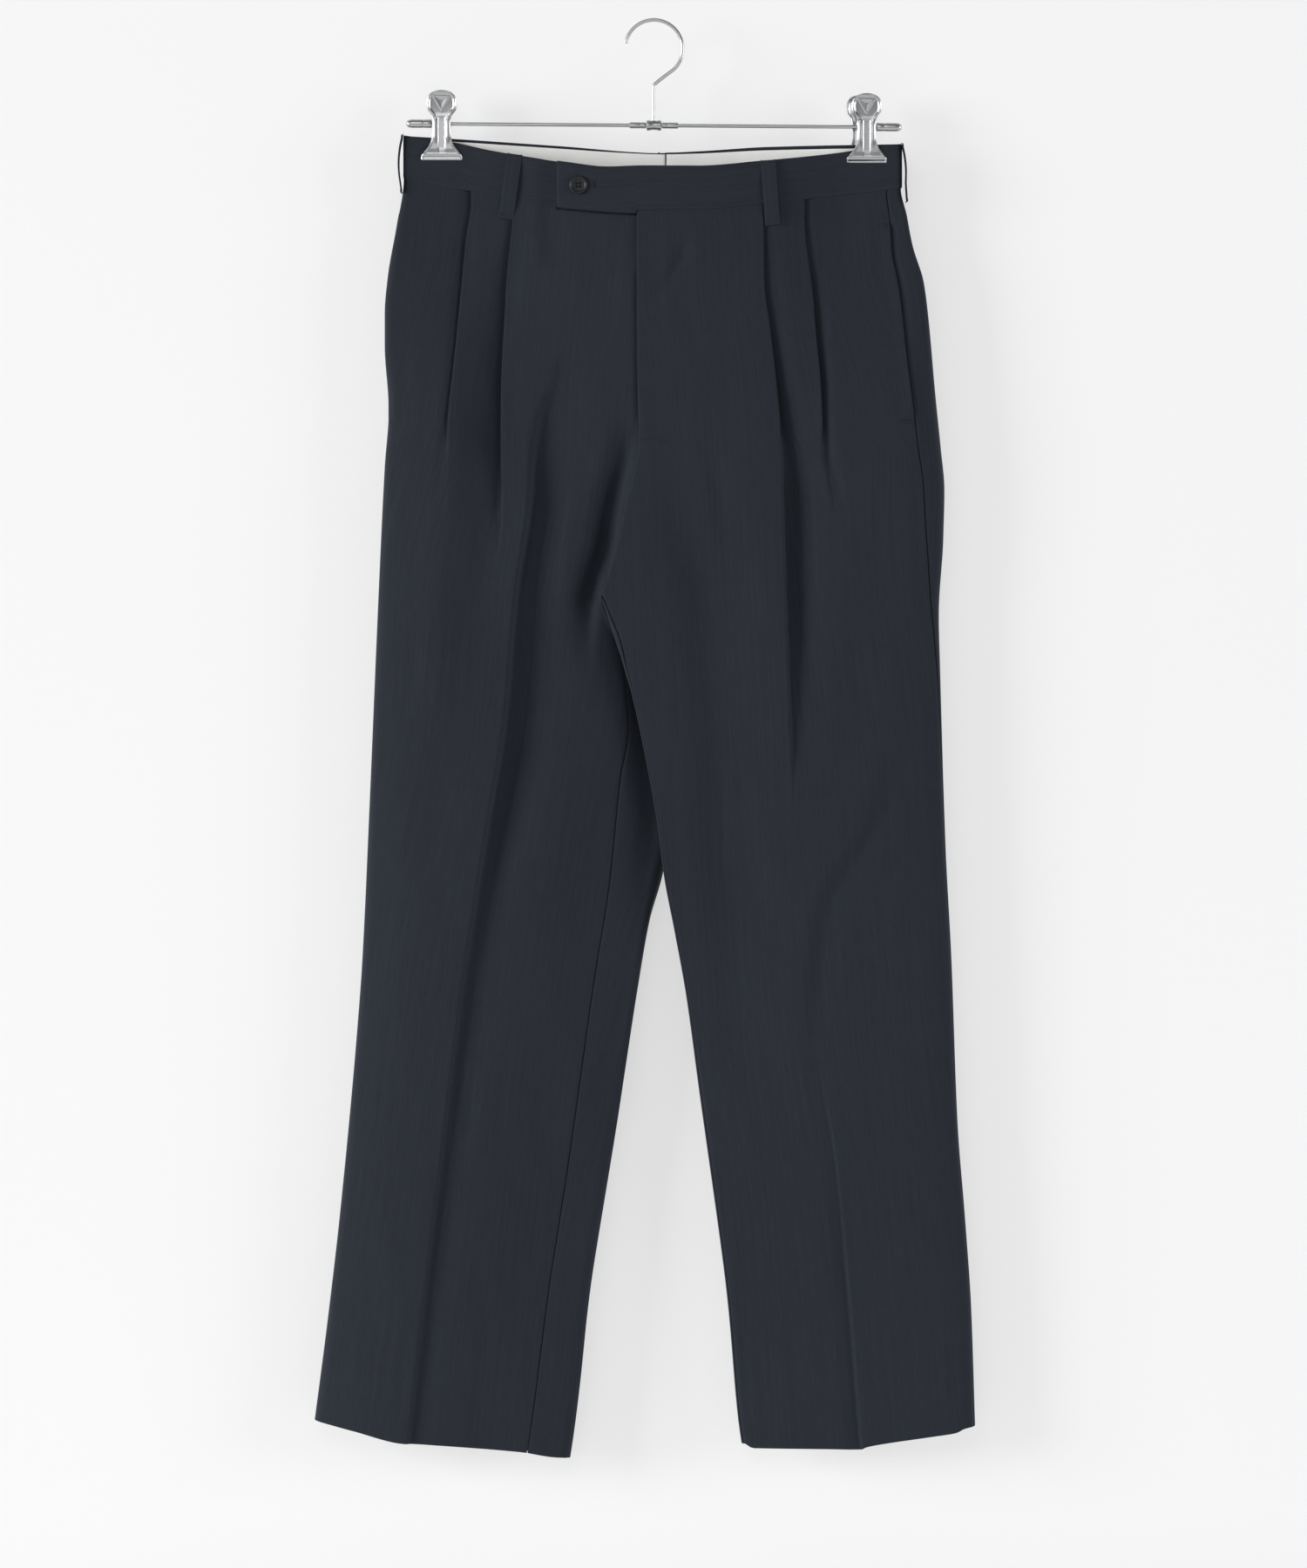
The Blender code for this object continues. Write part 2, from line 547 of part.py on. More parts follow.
def make_waistband(leg, front_end):
    """One half of the waistband, in one length from centre front to centre back."""
    rows = []
    for share in (0.0, 0.5, 1.0):
        row = []
        for across, back in band_stations(leg, front_end):
            x, y, z = band_point(across, share, back)
            if leg is RIGHT and not back:
                y += TAB_DEPTH * smooth_step(across, *TAB_DIVE)
            if leg is LEFT and not back and across < FLY_STEP:
                z -= TAB_DROP * (1.0 - share)
            row.append((x, y, z))
        rows.append(row)
    cloth_sheet("waistband_" + leg.side, rows, BAND_WALL, "wool", (0, -1, 0), column=1)


def make_curtain(leg):
    """The pale lining band that shows inside the back of the waistband."""
    sink = BAND_WALL + LAYER_GAP
    start = -leg.inward * CURTAIN_START
    centre = BACK_SEAM_X - leg.inward * SEAM_GAP / 2.0
    places = [mix(start, centre, i / CURTAIN_STEPS) for i in range(CURTAIN_STEPS + 1)]
    rows = [[band_point(across, share, True, sink) for across in places] for share in CURTAIN_LEVELS]
    cloth_sheet("curtain_" + leg.side, rows, CURTAIN_WALL, "curtain", (0, 1, 0))


# ================================ pieces laid on the panels ===================================
def make_belt_loop(name, top_across, low_across, back):
    """A narrow strip sewn above and below the waistband, bowed a little off it."""
    rows = []
    for share in LOOP_LEVELS:
        middle = mix(low_across, top_across, share)
        lift = LAYER_GAP + CLOTH_WALL + LOOP_LIFT + LOOP_BOW * math.sin(math.pi * share)
        row = []
        for side in (-0.5, 0.0, 0.5):
            across = middle + side * LOOP_WIDTH
            x, y, high = band_point(across, 1.0, back)
            low = band_point(across, 0.0, back)[2] - LOOP_BELOW
            y += lift * (1 if back else -1)
            row.append((x, y, mix(low, high, share)))
        rows.append(row)
    cloth_sheet(name, rows, CLOTH_WALL, "wool", (0, 1 if back else -1, 0))


def make_side_loop(leg):
    """The belt loop at the side, seen edge on, bowed clear of the turn of the waistband."""
    rows = []
    outer = along(leg.outer, WAIST) - leg.inward * BAND_PROUD
    high = band_point(outer, 1.0, True)[2]
    for share in SIDE_LOOP_LEVELS:
        z = mix(high - BAND_HEIGHT - SIDE_LOOP_BELOW, high, share)
        below = along(leg.outer, z) - leg.inward * BAND_PROUD
        bow = LAYER_GAP + CLOTH_WALL + SIDE_LOOP_BOW * math.sin(math.pi * share) ** 0.7
        across = min((below, outer), key=lambda v: v * leg.inward) - leg.inward * bow
        rows.append([(across, y, z) for y in (-0.5 * LOOP_WIDTH, 0.0, 0.5 * LOOP_WIDTH)])
    cloth_sheet("loop_side_" + leg.side, rows, CLOTH_WALL, "wool", (-leg.inward, 0, 0))


def make_fly_shield():
    """The strip of cloth behind the fly opening, under both fronts."""
    sink = 2.0 * CLOTH_WALL + 3.0 * LAYER_GAP + SHIELD_CLEARANCE
    rows = []
    for height in SHIELD_HEIGHTS:
        edge = along(LEFT.fly, height)
        row = [on_panel(LEFT, edge + place, height, sink=sink) for place in SHIELD_PLACES]
        rows.append(row)
    cloth_sheet("fly_shield", rows, CLOTH_WALL, "wool", (0, -1, 0))


def make_pocket_facing(leg):
    """The strip that closes a side pocket behind the edge of the front panel."""
    rows = []
    sink = CLOTH_WALL + LAYER_GAP
    for height in FACING_HEIGHTS:
        start = min(along(leg.seam_turn, height), -FACING_START)
        row = []
        for step in FACING_STEPS:
            x, y, z = outer_turn(leg, start - step, height)
            row.append((x, y + sink, z))
        rows.append(row)
    cloth_sheet("pocket_facing_" + leg.side, rows, CLOTH_WALL, "pocketing", (0, -1, 0))


def turned(name, profile, finish, axis, centre, steps=16):
    """A turned piece: a closed profile of (radius, along the axis) swept once round."""
    bm = bmesh.new()
    verts = [bm.verts.new((radius * MM, 0.0, length * MM)) for radius, length in profile]
    for a, b in zip(verts, verts[1:] + verts[:1]):
        bm.edges.new((a, b))
    mesh = bpy.data.meshes.new(name)
    bm.to_mesh(mesh)
    bm.free()
    obj = add_object(name, mesh, finish)
    screw = obj.modifiers.new("turn", "SCREW")
    screw.axis = "Z"
    screw.steps = steps
    screw.render_steps = steps
    screw.use_merge_vertices = True
    screw.merge_threshold = 0.00005
    screw.use_normal_calculate = True
    obj.rotation_euler = axis
    obj.location = Vector(centre) * MM
    return obj


def mesh_of(obj):
    """Replace a curve or a piece with live modifiers by a plain mesh object of its shape."""
    bpy.context.view_layer.update()
    evaluated = obj.evaluated_get(bpy.context.evaluated_depsgraph_get())
    mesh = bpy.data.meshes.new_from_object(evaluated)
    bm = bmesh.new()
    bm.from_mesh(mesh)
    bmesh.ops.remove_doubles(bm, verts=bm.verts, dist=0.00001)
    bm.to_mesh(mesh)
    bm.free()
    name = obj.name
    matrix = obj.matrix_world.copy()
    bpy.data.objects.remove(obj)
    plain = bpy.data.objects.new(name, mesh)
    bpy.data.collections["trousers_on_hanger"].objects.link(plain)
    plain.matrix_world = matrix
    return plain


def make_button():
    """A four-hole button with a raised rim on the waistband's tab."""
    r = BUTTON_RADIUS
    t = BUTTON_THICKNESS
    dish = ((0.0, 0.0), (r - 1.2, 0.0), (r, 0.9), (r - 0.2, t - 0.4), (r - 0.9, t), (r - 1.7, t - 0.3),
            (r - 2.3, t - 1.0), (0.0, t - 1.0))
    y = band_point(BUTTON_X, 0.5, False)[1] - LAYER_GAP - BUTTON_SHANK
    button = turned("button", [(a, -b) for a, b in dish][::-1], "button", (-math.pi / 2.0, 0.0, 0.0),
                    (BUTTON_X, y, BUTTON_HEIGHT), steps=28)
    button = mesh_of(button)
    for i in range(4):
        angle = math.radians(45.0 + 90.0 * i)
        bpy.ops.mesh.primitive_cylinder_add(vertices=10, radius=BUTTON_HOLE * MM, depth=4.0 * t * MM)
        hole = bpy.context.object
        hole.name = "cut_button_hole_%d" % (i + 1)
        hole.rotation_euler = (math.pi / 2.0, 0.0, 0.0)
        ring = Vector((math.cos(angle), 0.0, math.sin(angle))) * BUTTON_HOLE_RING * MM
        hole.location = button.location + ring
        for owner in list(hole.users_collection):
            owner.objects.unlink(hole)
        bpy.data.collections["cutters"].objects.link(hole)
        hole.hide_render = True
        hole.display_type = "WIRE"
        cut = button.modifiers.new("hole %d" % (i + 1), "BOOLEAN")
        cut.operation = "DIFFERENCE"
        cut.object = hole


# ================================ hanger ======================================================
def make_wire(name, points, radius, finish, resolution=3):
    """A round wire through these points."""
    curve = bpy.data.curves.new(name, "CURVE")
    curve.dimensions = "3D"
    curve.bevel_depth = radius * MM
    curve.bevel_resolution = resolution
    curve.use_fill_caps = True
    spline = curve.splines.new("POLY")
    spline.points.add(len(points) - 1)
    for slot, point in zip(spline.points, points):
        slot.co = (point[0] * MM, point[1] * MM, point[2] * MM, 1.0)
    return add_object(name, curve, finish)


def bar_height(across):
    return BAR_HEIGHT - BAR_TILT * across


def make_hook():
    """The hook: a round bend, a slant back to the middle, and a stem down to the knuckle."""
    centre = WIRE_RADIUS - HOOK_RADIUS
    points = []
    for i in range(HOOK_STEPS + 1):
        angle = math.radians(mix(HOOK_TIP_ANGLE, HOOK_NECK_ANGLE, i / HOOK_STEPS))
        points.append((HOOK_RADIUS * math.cos(angle), 0.0, centre + HOOK_RADIUS * math.sin(angle)))
    neck = points[-1]
    for share in NECK_SHARES:
        points.append((neck[0] * (1.0 - share), 0.0, mix(neck[2], STEM_TOP, share)))
    points.append((0.0, 0.0, STEM_TOP - STEM_BEND))
    points.append((0.0, 0.0, BAR_HEIGHT + KNUCKLE_RADIUS + SEAM_GAP))
    make_wire("hanger_hook", points, WIRE_RADIUS, "steel")


def make_bar():
    """The bar, the barrel that carries the hook, its two sleeves and the end caps."""
    ends = [(-BAR_END, 0.0, bar_height(-BAR_END)), (BAR_END, 0.0, bar_height(BAR_END))]
    make_wire("hanger_bar", ends, WIRE_RADIUS, "steel")
    tilt = (0.0, math.pi / 2.0 + math.atan(BAR_TILT), 0.0)

    def tube(name, start, end, radius):
        half = (end - start) / 2.0
        middle = (start + end) / 2.0
        edge = TUBE_CHAMFER
        profile = [(BORE, half), (radius - edge, half), (radius, half - edge), (radius, edge - half),
                   (radius - edge, -half), (BORE, -half)]
        turned(name, profile, "steel", tilt, (middle, 0.0, bar_height(middle)))

    tube("hanger_knuckle", -KNUCKLE_HALF, KNUCKLE_HALF, KNUCKLE_RADIUS)
    tube("hanger_sleeve_right", -SLEEVE_END, -KNUCKLE_HALF - SEAM_GAP, SLEEVE_RADIUS)
    tube("hanger_sleeve_left", KNUCKLE_HALF + SEAM_GAP, SLEEVE_END, SLEEVE_RADIUS)
    for clip in CLIPS:
        tube("clip_barrel_" + clip.name, clip.across - CLIP_BARREL_HALF, clip.across + CLIP_BARREL_HALF,
             CLIP_BARREL_RADIUS)
    for side, sign in (("right", -1.0), ("left", 1.0)):
        length = CAP_OUTER - CAP_INNER
        depth = BAR_END - CAP_INNER + SEAM_GAP
        profile = [(0.0, length), (1.9, length - 0.5), (3.1, length - 1.8), (CAP_RADIUS, length - 4.0),
                   (CAP_RADIUS, 0.6), (CAP_RADIUS - 0.6, 0.0), (BORE, 0.0), (BORE, depth), (0.0, depth)]
        turn = math.pi / 2.0 * sign + math.atan(BAR_TILT)
        turned("hanger_cap_" + side, profile, "steel", (0.0, turn, 0.0),
               (sign * CAP_INNER, 0.0, bar_height(sign * CAP_INNER)))


def make_clip_plate(name, clip, sign):
    """One half of a clip: a spade-shaped grip, a narrow neck and a flared jaw."""
    curve = bpy.data.curves.new(name, "CURVE")
    curve.dimensions = "2D"
    curve.fill_mode = "BOTH"
    curve.extrude = (CLIP_PLATE / 2.0) * MM
    outline = list(CLIP_OUTLINE) + [(-x, z) for x, z in reversed(CLIP_OUTLINE[1:-1])]
    spline = curve.splines.new("POLY")
    spline.points.add(len(outline) - 1)
    for slot, (x, z) in zip(spline.points, outline):
        slot.co = (x * MM, z * MM, 0.0, 1.0)
    spline.use_cyclic_u = True
    obj = add_object(name, curve, "steel")
    obj.rotation_euler = (math.pi / 2.0, 0.0, 0.0)
    y = sign * (PINCH + BAND_PROUD + SEAM_GAP + CLIP_PLATE / 2.0)
    obj.location = Vector((clip.across, y, bar_height(clip.across))) * MM


def make_hanger():
    make_hook()
    make_bar()
    for clip in CLIPS:
        make_clip_plate("clip_front_" + clip.name, clip, -1.0)
        make_clip_plate("clip_back_" + clip.name, clip, 1.0)


# ================================ assembly ====================================================
def clear_scene():
    for obj in list(bpy.data.objects):
        bpy.data.objects.remove(obj)
    for name in ("trousers_on_hanger", "cutters"):
        bpy.context.scene.collection.children.link(bpy.data.collections.new(name))


def main():
    clear_scene()
    for leg in (RIGHT, LEFT):
        make_panels(leg)
        make_curtain(leg)
        make_side_loop(leg)
        make_pocket_facing(leg)
    make_waistband(RIGHT, RIGHT_BAND_END)
    make_waistband(LEFT, TAB_END)
    for name, top_across, low_across, back in BELT_LOOPS:
        make_belt_loop(name, top_across, low_across, back)
    make_fly_shield()
    make_button()
    make_hanger()


main()
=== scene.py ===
# %% [markdown]
# # Pleated dress trousers on a clip hanger
#
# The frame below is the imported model: every solid of the trousers and of the hanger, in metres, at its real
# place. This lesson dresses it. The cloth is drawn again as thin, finely divided sheets on the same form,
# then the sewing, the button and the pressed steel of the hanger follow, each with a material made of
# nodes.

# %% Load the frame
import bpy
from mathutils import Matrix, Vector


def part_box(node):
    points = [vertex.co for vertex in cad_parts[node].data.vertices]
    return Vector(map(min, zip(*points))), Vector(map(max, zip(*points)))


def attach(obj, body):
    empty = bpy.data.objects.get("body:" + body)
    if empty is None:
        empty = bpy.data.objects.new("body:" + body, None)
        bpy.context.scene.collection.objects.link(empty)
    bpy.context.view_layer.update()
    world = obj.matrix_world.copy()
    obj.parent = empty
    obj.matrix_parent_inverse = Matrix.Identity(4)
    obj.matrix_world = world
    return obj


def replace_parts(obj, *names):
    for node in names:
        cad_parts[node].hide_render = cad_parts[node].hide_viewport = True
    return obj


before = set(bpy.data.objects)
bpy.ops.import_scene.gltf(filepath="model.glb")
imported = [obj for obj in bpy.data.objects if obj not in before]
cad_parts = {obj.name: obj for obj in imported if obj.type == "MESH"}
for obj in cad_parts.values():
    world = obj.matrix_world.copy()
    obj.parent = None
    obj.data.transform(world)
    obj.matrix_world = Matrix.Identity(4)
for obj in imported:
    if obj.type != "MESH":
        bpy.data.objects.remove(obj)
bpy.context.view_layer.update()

import math
from collections import namedtuple

import bmesh
import bpy
import numpy as np
from mathutils import Matrix, Vector

MM = 0.001
print("nodes in the frame:", len(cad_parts))

# %% [markdown]
# ## Camera
# A garment is recorded straight on, from far enough away that its near and far sides keep one scale. A long
# lens five metres off does that: the frame is 1.05 m by 1.26 m at the cloth, and its middle is level with the
# thighs. No shift and no depth of field are needed.

# %% Camera
FRAME_HEIGHT = 1.26         # metres of the hanging plane that the frame's long side covers
FRAME_CENTRE = (-0.00035, -0.6125)
CAMERA_DISTANCE = 5.0
lens = bpy.data.cameras.new("camera")
lens.sensor_width = 36.0
lens.lens = lens.sensor_width * CAMERA_DISTANCE / FRAME_HEIGHT
camera = bpy.data.objects.new("camera", lens)
camera.location = (FRAME_CENTRE[0], -CAMERA_DISTANCE, FRAME_CENTRE[1])
camera.rotation_euler = (math.pi / 2.0, 0.0, 0.0)
bpy.context.scene.collection.objects.link(camera)
bpy.context.scene.camera = camera
bpy.context.scene.view_settings.view_transform = "Standard"
print("lens %.1f mm" % lens.lens)

# %% [markdown]
# ## Shader sums in Python
# Node trees for cloth are mostly sums on a few values. A small class wraps an output socket and overloads the
# operators, so that `0.72 + fleck * 0.2` adds the Math nodes by itself. Colours never go through a Math node,
# which would turn them grey: they are blended by a Mix node. Any other node comes from one method, `node`.


# %% Shader helpers
class Value:
    """An output socket that does sums."""

    def __init__(self, recipe, socket):
        self.recipe = recipe
        self.socket = socket

    def sum(self, operation, first, second=None):
        values = {0: first} if second is None else {0: first, 1: second}
        return self.recipe.node("Math", {"operation": operation}, values)

    def __add__(self, other):
        return self.sum("ADD", self, other)

    def __radd__(self, other):
        return self.sum("ADD", other, self)

    def __sub__(self, other):
        return self.sum("SUBTRACT", self, other)

    def __mul__(self, other):
        return self.sum("MULTIPLY", self, other)

    def sine(self):
        return self.sum("SINE", self)


class Recipe:
    """The node tree of one material."""

    def __init__(self, name):
        self.material = bpy.data.materials.new(name)
        self.material.use_nodes = True
        self.tree = self.material.node_tree
        self.shader = self.tree.nodes["Principled BSDF"]

    def join(self, value, socket):
        if isinstance(value, Value):
            self.tree.links.new(value.socket, socket)
        else:
            socket.default_value = value

    def node(self, kind, settings=None, values=None, out=0):
        """Add a node: its settings first, then the values or links of its sockets."""
        made = self.tree.nodes.new("ShaderNode" + kind)
        for key, value in (settings or {}).items():
            setattr(made, key, value)
        for key, value in (values or {}).items():
            self.join(value, made.inputs[key])
        return Value(self, made.outputs[out])

    def finish(self, values):
        """Set the Principled shader's own sockets."""
        for key, value in values.items():
            self.join(value, self.shader.inputs[key])
        return self.material

    def place(self, source, scale=(1.0, 1.0, 1.0)):
        """Object or UV coordinates, scaled."""
        coordinates = self.node("TexCoord", out=source)
        return self.node("Mapping", {}, {"Vector": coordinates, "Scale": scale})

    def cut(self):
        """Metres across the piece and along its grain, from its UV map."""
        parts = self.node("SeparateXYZ", {}, {"Vector": self.place("UV")}).socket.node
        return Value(self, parts.outputs[0]), Value(self, parts.outputs[1])

    def noise(self, vector, scale=1.0, detail=2.0, roughness=0.5):
        values = {"Vector": vector, "Scale": scale, "Detail": detail, "Roughness": roughness}
        return self.node("TexNoise", {}, values)

    def blend(self, share, first, second):
        return self.node("Mix", {"data_type": "RGBA"}, {0: share, 6: first, 7: second}, out=2)

    def bump(self, height, distance, strength):
        return self.node("Bump", {}, {"Height": height, "Distance": distance, "Strength": strength})


def colour(red, green, blue):
    return (red, green, blue, 1.0)


print("shader helpers ready")

# %% [markdown]
# ## Backdrop and floor
# A plain pale sheet of paper hangs just behind the garment and bends forward into a pale floor, as in a
# studio. It is one strip of quads whose section is a line, a quarter circle and a line. It glows a little,
# so that it stays pale beside dark cloth without light that would wash the cloth out. It can be seen from
# the front only, so that a view from behind shows the garment's back.

# %% Backdrop and floor
BACKDROP_Y, BACKDROP_TOP, BACKDROP_HALF_WIDTH = 0.030, 1.6, 3.0
FLOOR_Z, FLOOR_FRONT = -1.300, -4.0
SWEEP, SWEEP_STEPS = 0.10, 8        # the bend between them: its radius and its number of faces


def mesh_of(name, bm):
    """Turn a bmesh into a mesh, and free it."""
    mesh = bpy.data.meshes.new(name)
    bm.to_mesh(mesh)
    bm.free()
    return mesh


path = [(FLOOR_FRONT, FLOOR_Z)]
for step in range(SWEEP_STEPS + 1):
    angle = math.radians(90.0 * step / SWEEP_STEPS)
    path.append((BACKDROP_Y - SWEEP + SWEEP * math.sin(angle), FLOOR_Z + SWEEP - SWEEP * math.cos(angle)))
path.append((BACKDROP_Y, BACKDROP_TOP))
bm = bmesh.new()
bmesh.ops.create_grid(bm, x_segments=1, y_segments=len(path) - 1, size=BACKDROP_HALF_WIDTH)
for vert in bm.verts:
    vert.co.y, vert.co.z = path[vert.index // 2]
mesh = mesh_of("backdrop", bm)
if mesh.polygons[0].normal.z < 0.0:
    mesh.flip_normals()
mesh.shade_smooth()
backdrop = bpy.data.objects.new("backdrop", mesh)
bpy.context.scene.collection.objects.link(backdrop)

# ---- its paper, clear from behind ------------------------------------------------------------
PAPER_GLOW = 1.81
recipe = Recipe("backdrop_paper")
mottle = recipe.noise(recipe.place("Object"), 1.2, 3.0)
paper = recipe.blend(mottle, colour(0.32, 0.32, 0.323), colour(0.33, 0.33, 0.33))
recipe.finish({"Base Color": paper, "Roughness": 0.9, "Specular IOR Level": 0.0,
               "Emission Color": paper, "Emission Strength": PAPER_GLOW})
behind = recipe.node("NewGeometry", out="Backfacing")
clear = recipe.node("BsdfTransparent")
shown = recipe.node("MixShader", {}, {0: behind, 1: Value(recipe, recipe.shader.outputs[0]), 2: clear})
recipe.tree.links.new(shown.socket, recipe.tree.nodes["Material Output"].inputs["Surface"])
backdrop.data.materials.append(recipe.material)
print("backdrop at y %.3f m, floor at z %.3f m" % (BACKDROP_Y, FLOOR_Z))

# %% [markdown]
# ## Light
# Dark cloth shows its form only through soft, one-sided light. A broad window far to the left, a little in
# front of the garment, rakes over its folds: what turns away from it goes dark, and what turns towards it
# shines. A weaker panel on the right keeps the far flanks from going black, a faint one above the camera
# fills the front, and a last one behind lights the back and the edges of the steel.

# %% Lights
LIGHTS = (
    # name, place, the height that it is turned to, side of its square, watts
    ("window", (-7.0, -3.0, 0.6), -0.60, 3.0, 555.0),
    ("key", (-1.0, -6.0, 1.8), -0.60, 2.5, 54.0),
    ("fill", (7.0, -3.0, 0.2), -0.60, 3.0, 240.0),
    ("rear", (1.2, 3.2, 1.4), -0.55, 2.0, 60.0),
)
SKY, SKY_STRENGTH = colour(0.93, 0.95, 1.0), 0.16


def softbox(name, place, aim, size, power):
    """A square area light turned towards a height on the garment's middle line."""
    data = bpy.data.lights.new(name, "AREA")
    data.shape = "SQUARE"
    data.size = size
    data.energy = power
    lamp = bpy.data.objects.new(name, data)
    lamp.location = place
    lamp.rotation_euler = (Vector((0.0, 0.0, aim)) - Vector(place)).to_track_quat("-Z", "Y").to_euler()
    bpy.context.scene.collection.objects.link(lamp)


for light in LIGHTS:
    softbox(*light)

world = bpy.data.worlds.new("studio")
bpy.context.scene.world = world
world.use_nodes = True
world.node_tree.nodes["Background"].inputs["Color"].default_value = SKY
world.node_tree.nodes["Background"].inputs["Strength"].default_value = SKY_STRENGTH
print("soft lights:", len(LIGHTS))

# %% [markdown]
# ## Wool
# The cloth is a fine worsted in dark navy. Its warp yarns are spun from mixed light and dark fibres, so
# close up there are short vertical flecks, and the weave is a twill: each weft yarn passes over two warps
# and steps one to the side, which draws fine diagonal ribs. The pattern has to follow the cut of each piece
# and not the room, so it reads a UV map in metres: u across the piece, v along its grain. Worsted is nearly
# matt, with a faint sheen of standing fibres that brightens surfaces that turn away from the eye.

# %% Wool
YARN = 0.00042          # metres from one rib of the twill to the next, across and along the cloth
# repeats in a metre across the piece and along its grain
FLECKS, SLUBS, CLOUDS = (1500.0, 70.0, 1.0), (420.0, 9.0, 1.0), (9.0, 6.0, 1.0)


def wool(name, dark, light):
    recipe = Recipe(name)
    across, length = recipe.cut()
    fleck = recipe.noise(recipe.place("UV", FLECKS), 1.0, 2.0)
    slub = recipe.noise(recipe.place("UV", SLUBS), 1.0, 2.0)
    cloud = recipe.noise(recipe.place("UV", CLOUDS), 1.0, 3.0)
    turns = 2.0 * math.pi / YARN
    rib = (across * turns + length * turns).sine() * 0.5 + 0.5
    tone = fleck * 0.62 + slub * 0.40 + cloud * 0.22 + rib * 0.16 - 0.20
    base = recipe.blend(tone, dark, light)
    relief = rib * 0.6 + fleck * 0.4
    return recipe.finish({
        "Base Color": base,
        "Roughness": 0.72 + fleck * 0.2,
        "Specular IOR Level": 0.16,
        "Sheen Weight": 0.10,
        "Sheen Roughness": 0.45,
        "Sheen Tint": colour(0.55, 0.62, 0.75),
        "Normal": recipe.bump(relief, 0.00012, 0.5),
    })


CLOTH = wool("navy_worsted", colour(0.0075, 0.0095, 0.0140), colour(0.0270, 0.0320, 0.0430))
print("worsted with ribs every %.2f mm" % (YARN / MM))

# %% [markdown]
# ## Cloth tools
# A hanging garment is easiest to draw as a table of lines. Each line gives, for some heights, how far
# across a seam, a pleat or a crease lies, and `along` reads any height between them with a smooth curve
# that never overshoots. All of the tables are in millimetres and count down from the hook; the whole column
# of heights is worked out at once with arrays, so a panel of thirty thousand points takes no time. These
# sizes are the ones that the solids in the frame were built from.

# %% Sizes and lines of the garment
BAND_HEIGHT = 34.5
BAND_PROUD = 0.4        # the waistband stands this far outside the panels below it
SEAM_GAP = 0.4
WAIST = -126.0
CROTCH = -462.5
HEM = -1125.0
CLIP_X = 171.0          # half the distance between the two clips
CLIP_JAW_HALF = 18.0
PINCH = 3.0             # from the middle plane to the face of the panels between a clip's plates
# ---- outlines of the waist: across, height ---------------------------------------------------
FRONT_WAIST = ((-201, -126), (-164, -133.5), (-123, -140), (-77, -147.5), (-12, -152.6), (35, -152.3),
               (85, -147.3), (145, -140), (184, -135.5), (203, -133))
FRONT_TOP = ((-201, -91.5), (-160, -97.3), (-133, -103.6), (-105, -108.9), (-69, -114.8), (-37, -118.6),
             (-10, -117.8), (35, -117.9), (85, -113.6), (145, -106.6), (182, -100.8), (203, -98.5))
BACK_TOP = ((-201, -91.5), (-77, -99), (9, -104.6), (35, -103.6), (91, -100.4), (179, -99), (203, -98.5))

# ---- one leg: each line is (height, across) --------------------------------------------------
Leg = namedtuple("Leg", "side inward outer seam_turn pleat_outer pleat_inner crease inseam inner "
                        "fly centre_back back_crease hem inner_depth flat_front flat_back")

RIGHT = Leg(
    side="right",
    inward=1,
    outer=((-91, -201), (-126, -201), (-160, -205.7), (-206, -213.6), (-234, -215.9), (-260, -215.9),
           (-309, -212.9), (-358, -216.3), (-482, -222.2), (-632, -228.6), (-752, -234.2), (-822, -239.4),
           (-962, -252.7), (-1032, -260.8), (-1125, -272.5)),
    seam_turn=((-126, 4.5), (-1125, 4.5)),
    pleat_outer=((-140, -145.9), (-167, -150.1), (-206, -153.6), (-260, -158.5), (-332, -165.5),
                 (-416, -170), (-462, -172), (-700, -186), (-1125, -238)),
    pleat_inner=((-147, -112.5), (-198, -117.2), (-234, -119), (-305, -121.7), (-388, -122), (-462, -130),
                 (-700, -160), (-1125, -222)),
    crease=((-126, -80), (-296, -93.1), (-388, -100.3), (-458, -111), (-563, -120.5), (-644, -133.7),
            (-736, -148.5), (-838, -162.6), (-979, -179.1), (-1140, -199.8)),
    inseam=((-462, -43.2), (-480, -37.5), (-514, -25), (-567, -20), (-609, -26.9), (-690, -35.3),
            (-773, -48.3), (-917, -68.6), (-1035, -87.1), (-1135, -103.2)),
    inner=((-462, -43.9), (-474, -37), (-492, -20), (-530, 4), (-580, 16), (-626, 16.5), (-684, 7.3),
           (-721, -2.4), (-775, -11.8), (-857, -24.4), (-1032, -53), (-1073, -58.4), (-1153, -71.3)),
    fly=((-126, -4), (-300, -4), (-340, -7), (-361, -12), (-395, -20.5), (-435, -31.5), (-450, -38.3),
         (-462, -43.2)),
    centre_back=((-126, 9.2), (-300, 2), (-395, -18.2), (-440, -35.5), (-462, -43.9)),
    back_crease=((-126, -96), (-460, -122), (-690, -112), (-1125, -168)),
    hem=((-273, -1122.8), (-240, -1131), (-200, -1140.6), (-191, -1141), (-107, -1148), (-79, -1152.6),
         (-71, -1153)),
    inner_depth=((-350, 0), (-410, -2.5), (-440, -3), (-465, -1), (-495, 4.5), (-520, 7.5), (-680, 7),
                 (-800, 2), (-1125, 0)),
    flat_front=((-360, 0), (-480, 12), (-660, 14), (-800, 6), (-1125, 4)),
    flat_back=((-440, 0), (-500, 8), (-1125, 4)),
)
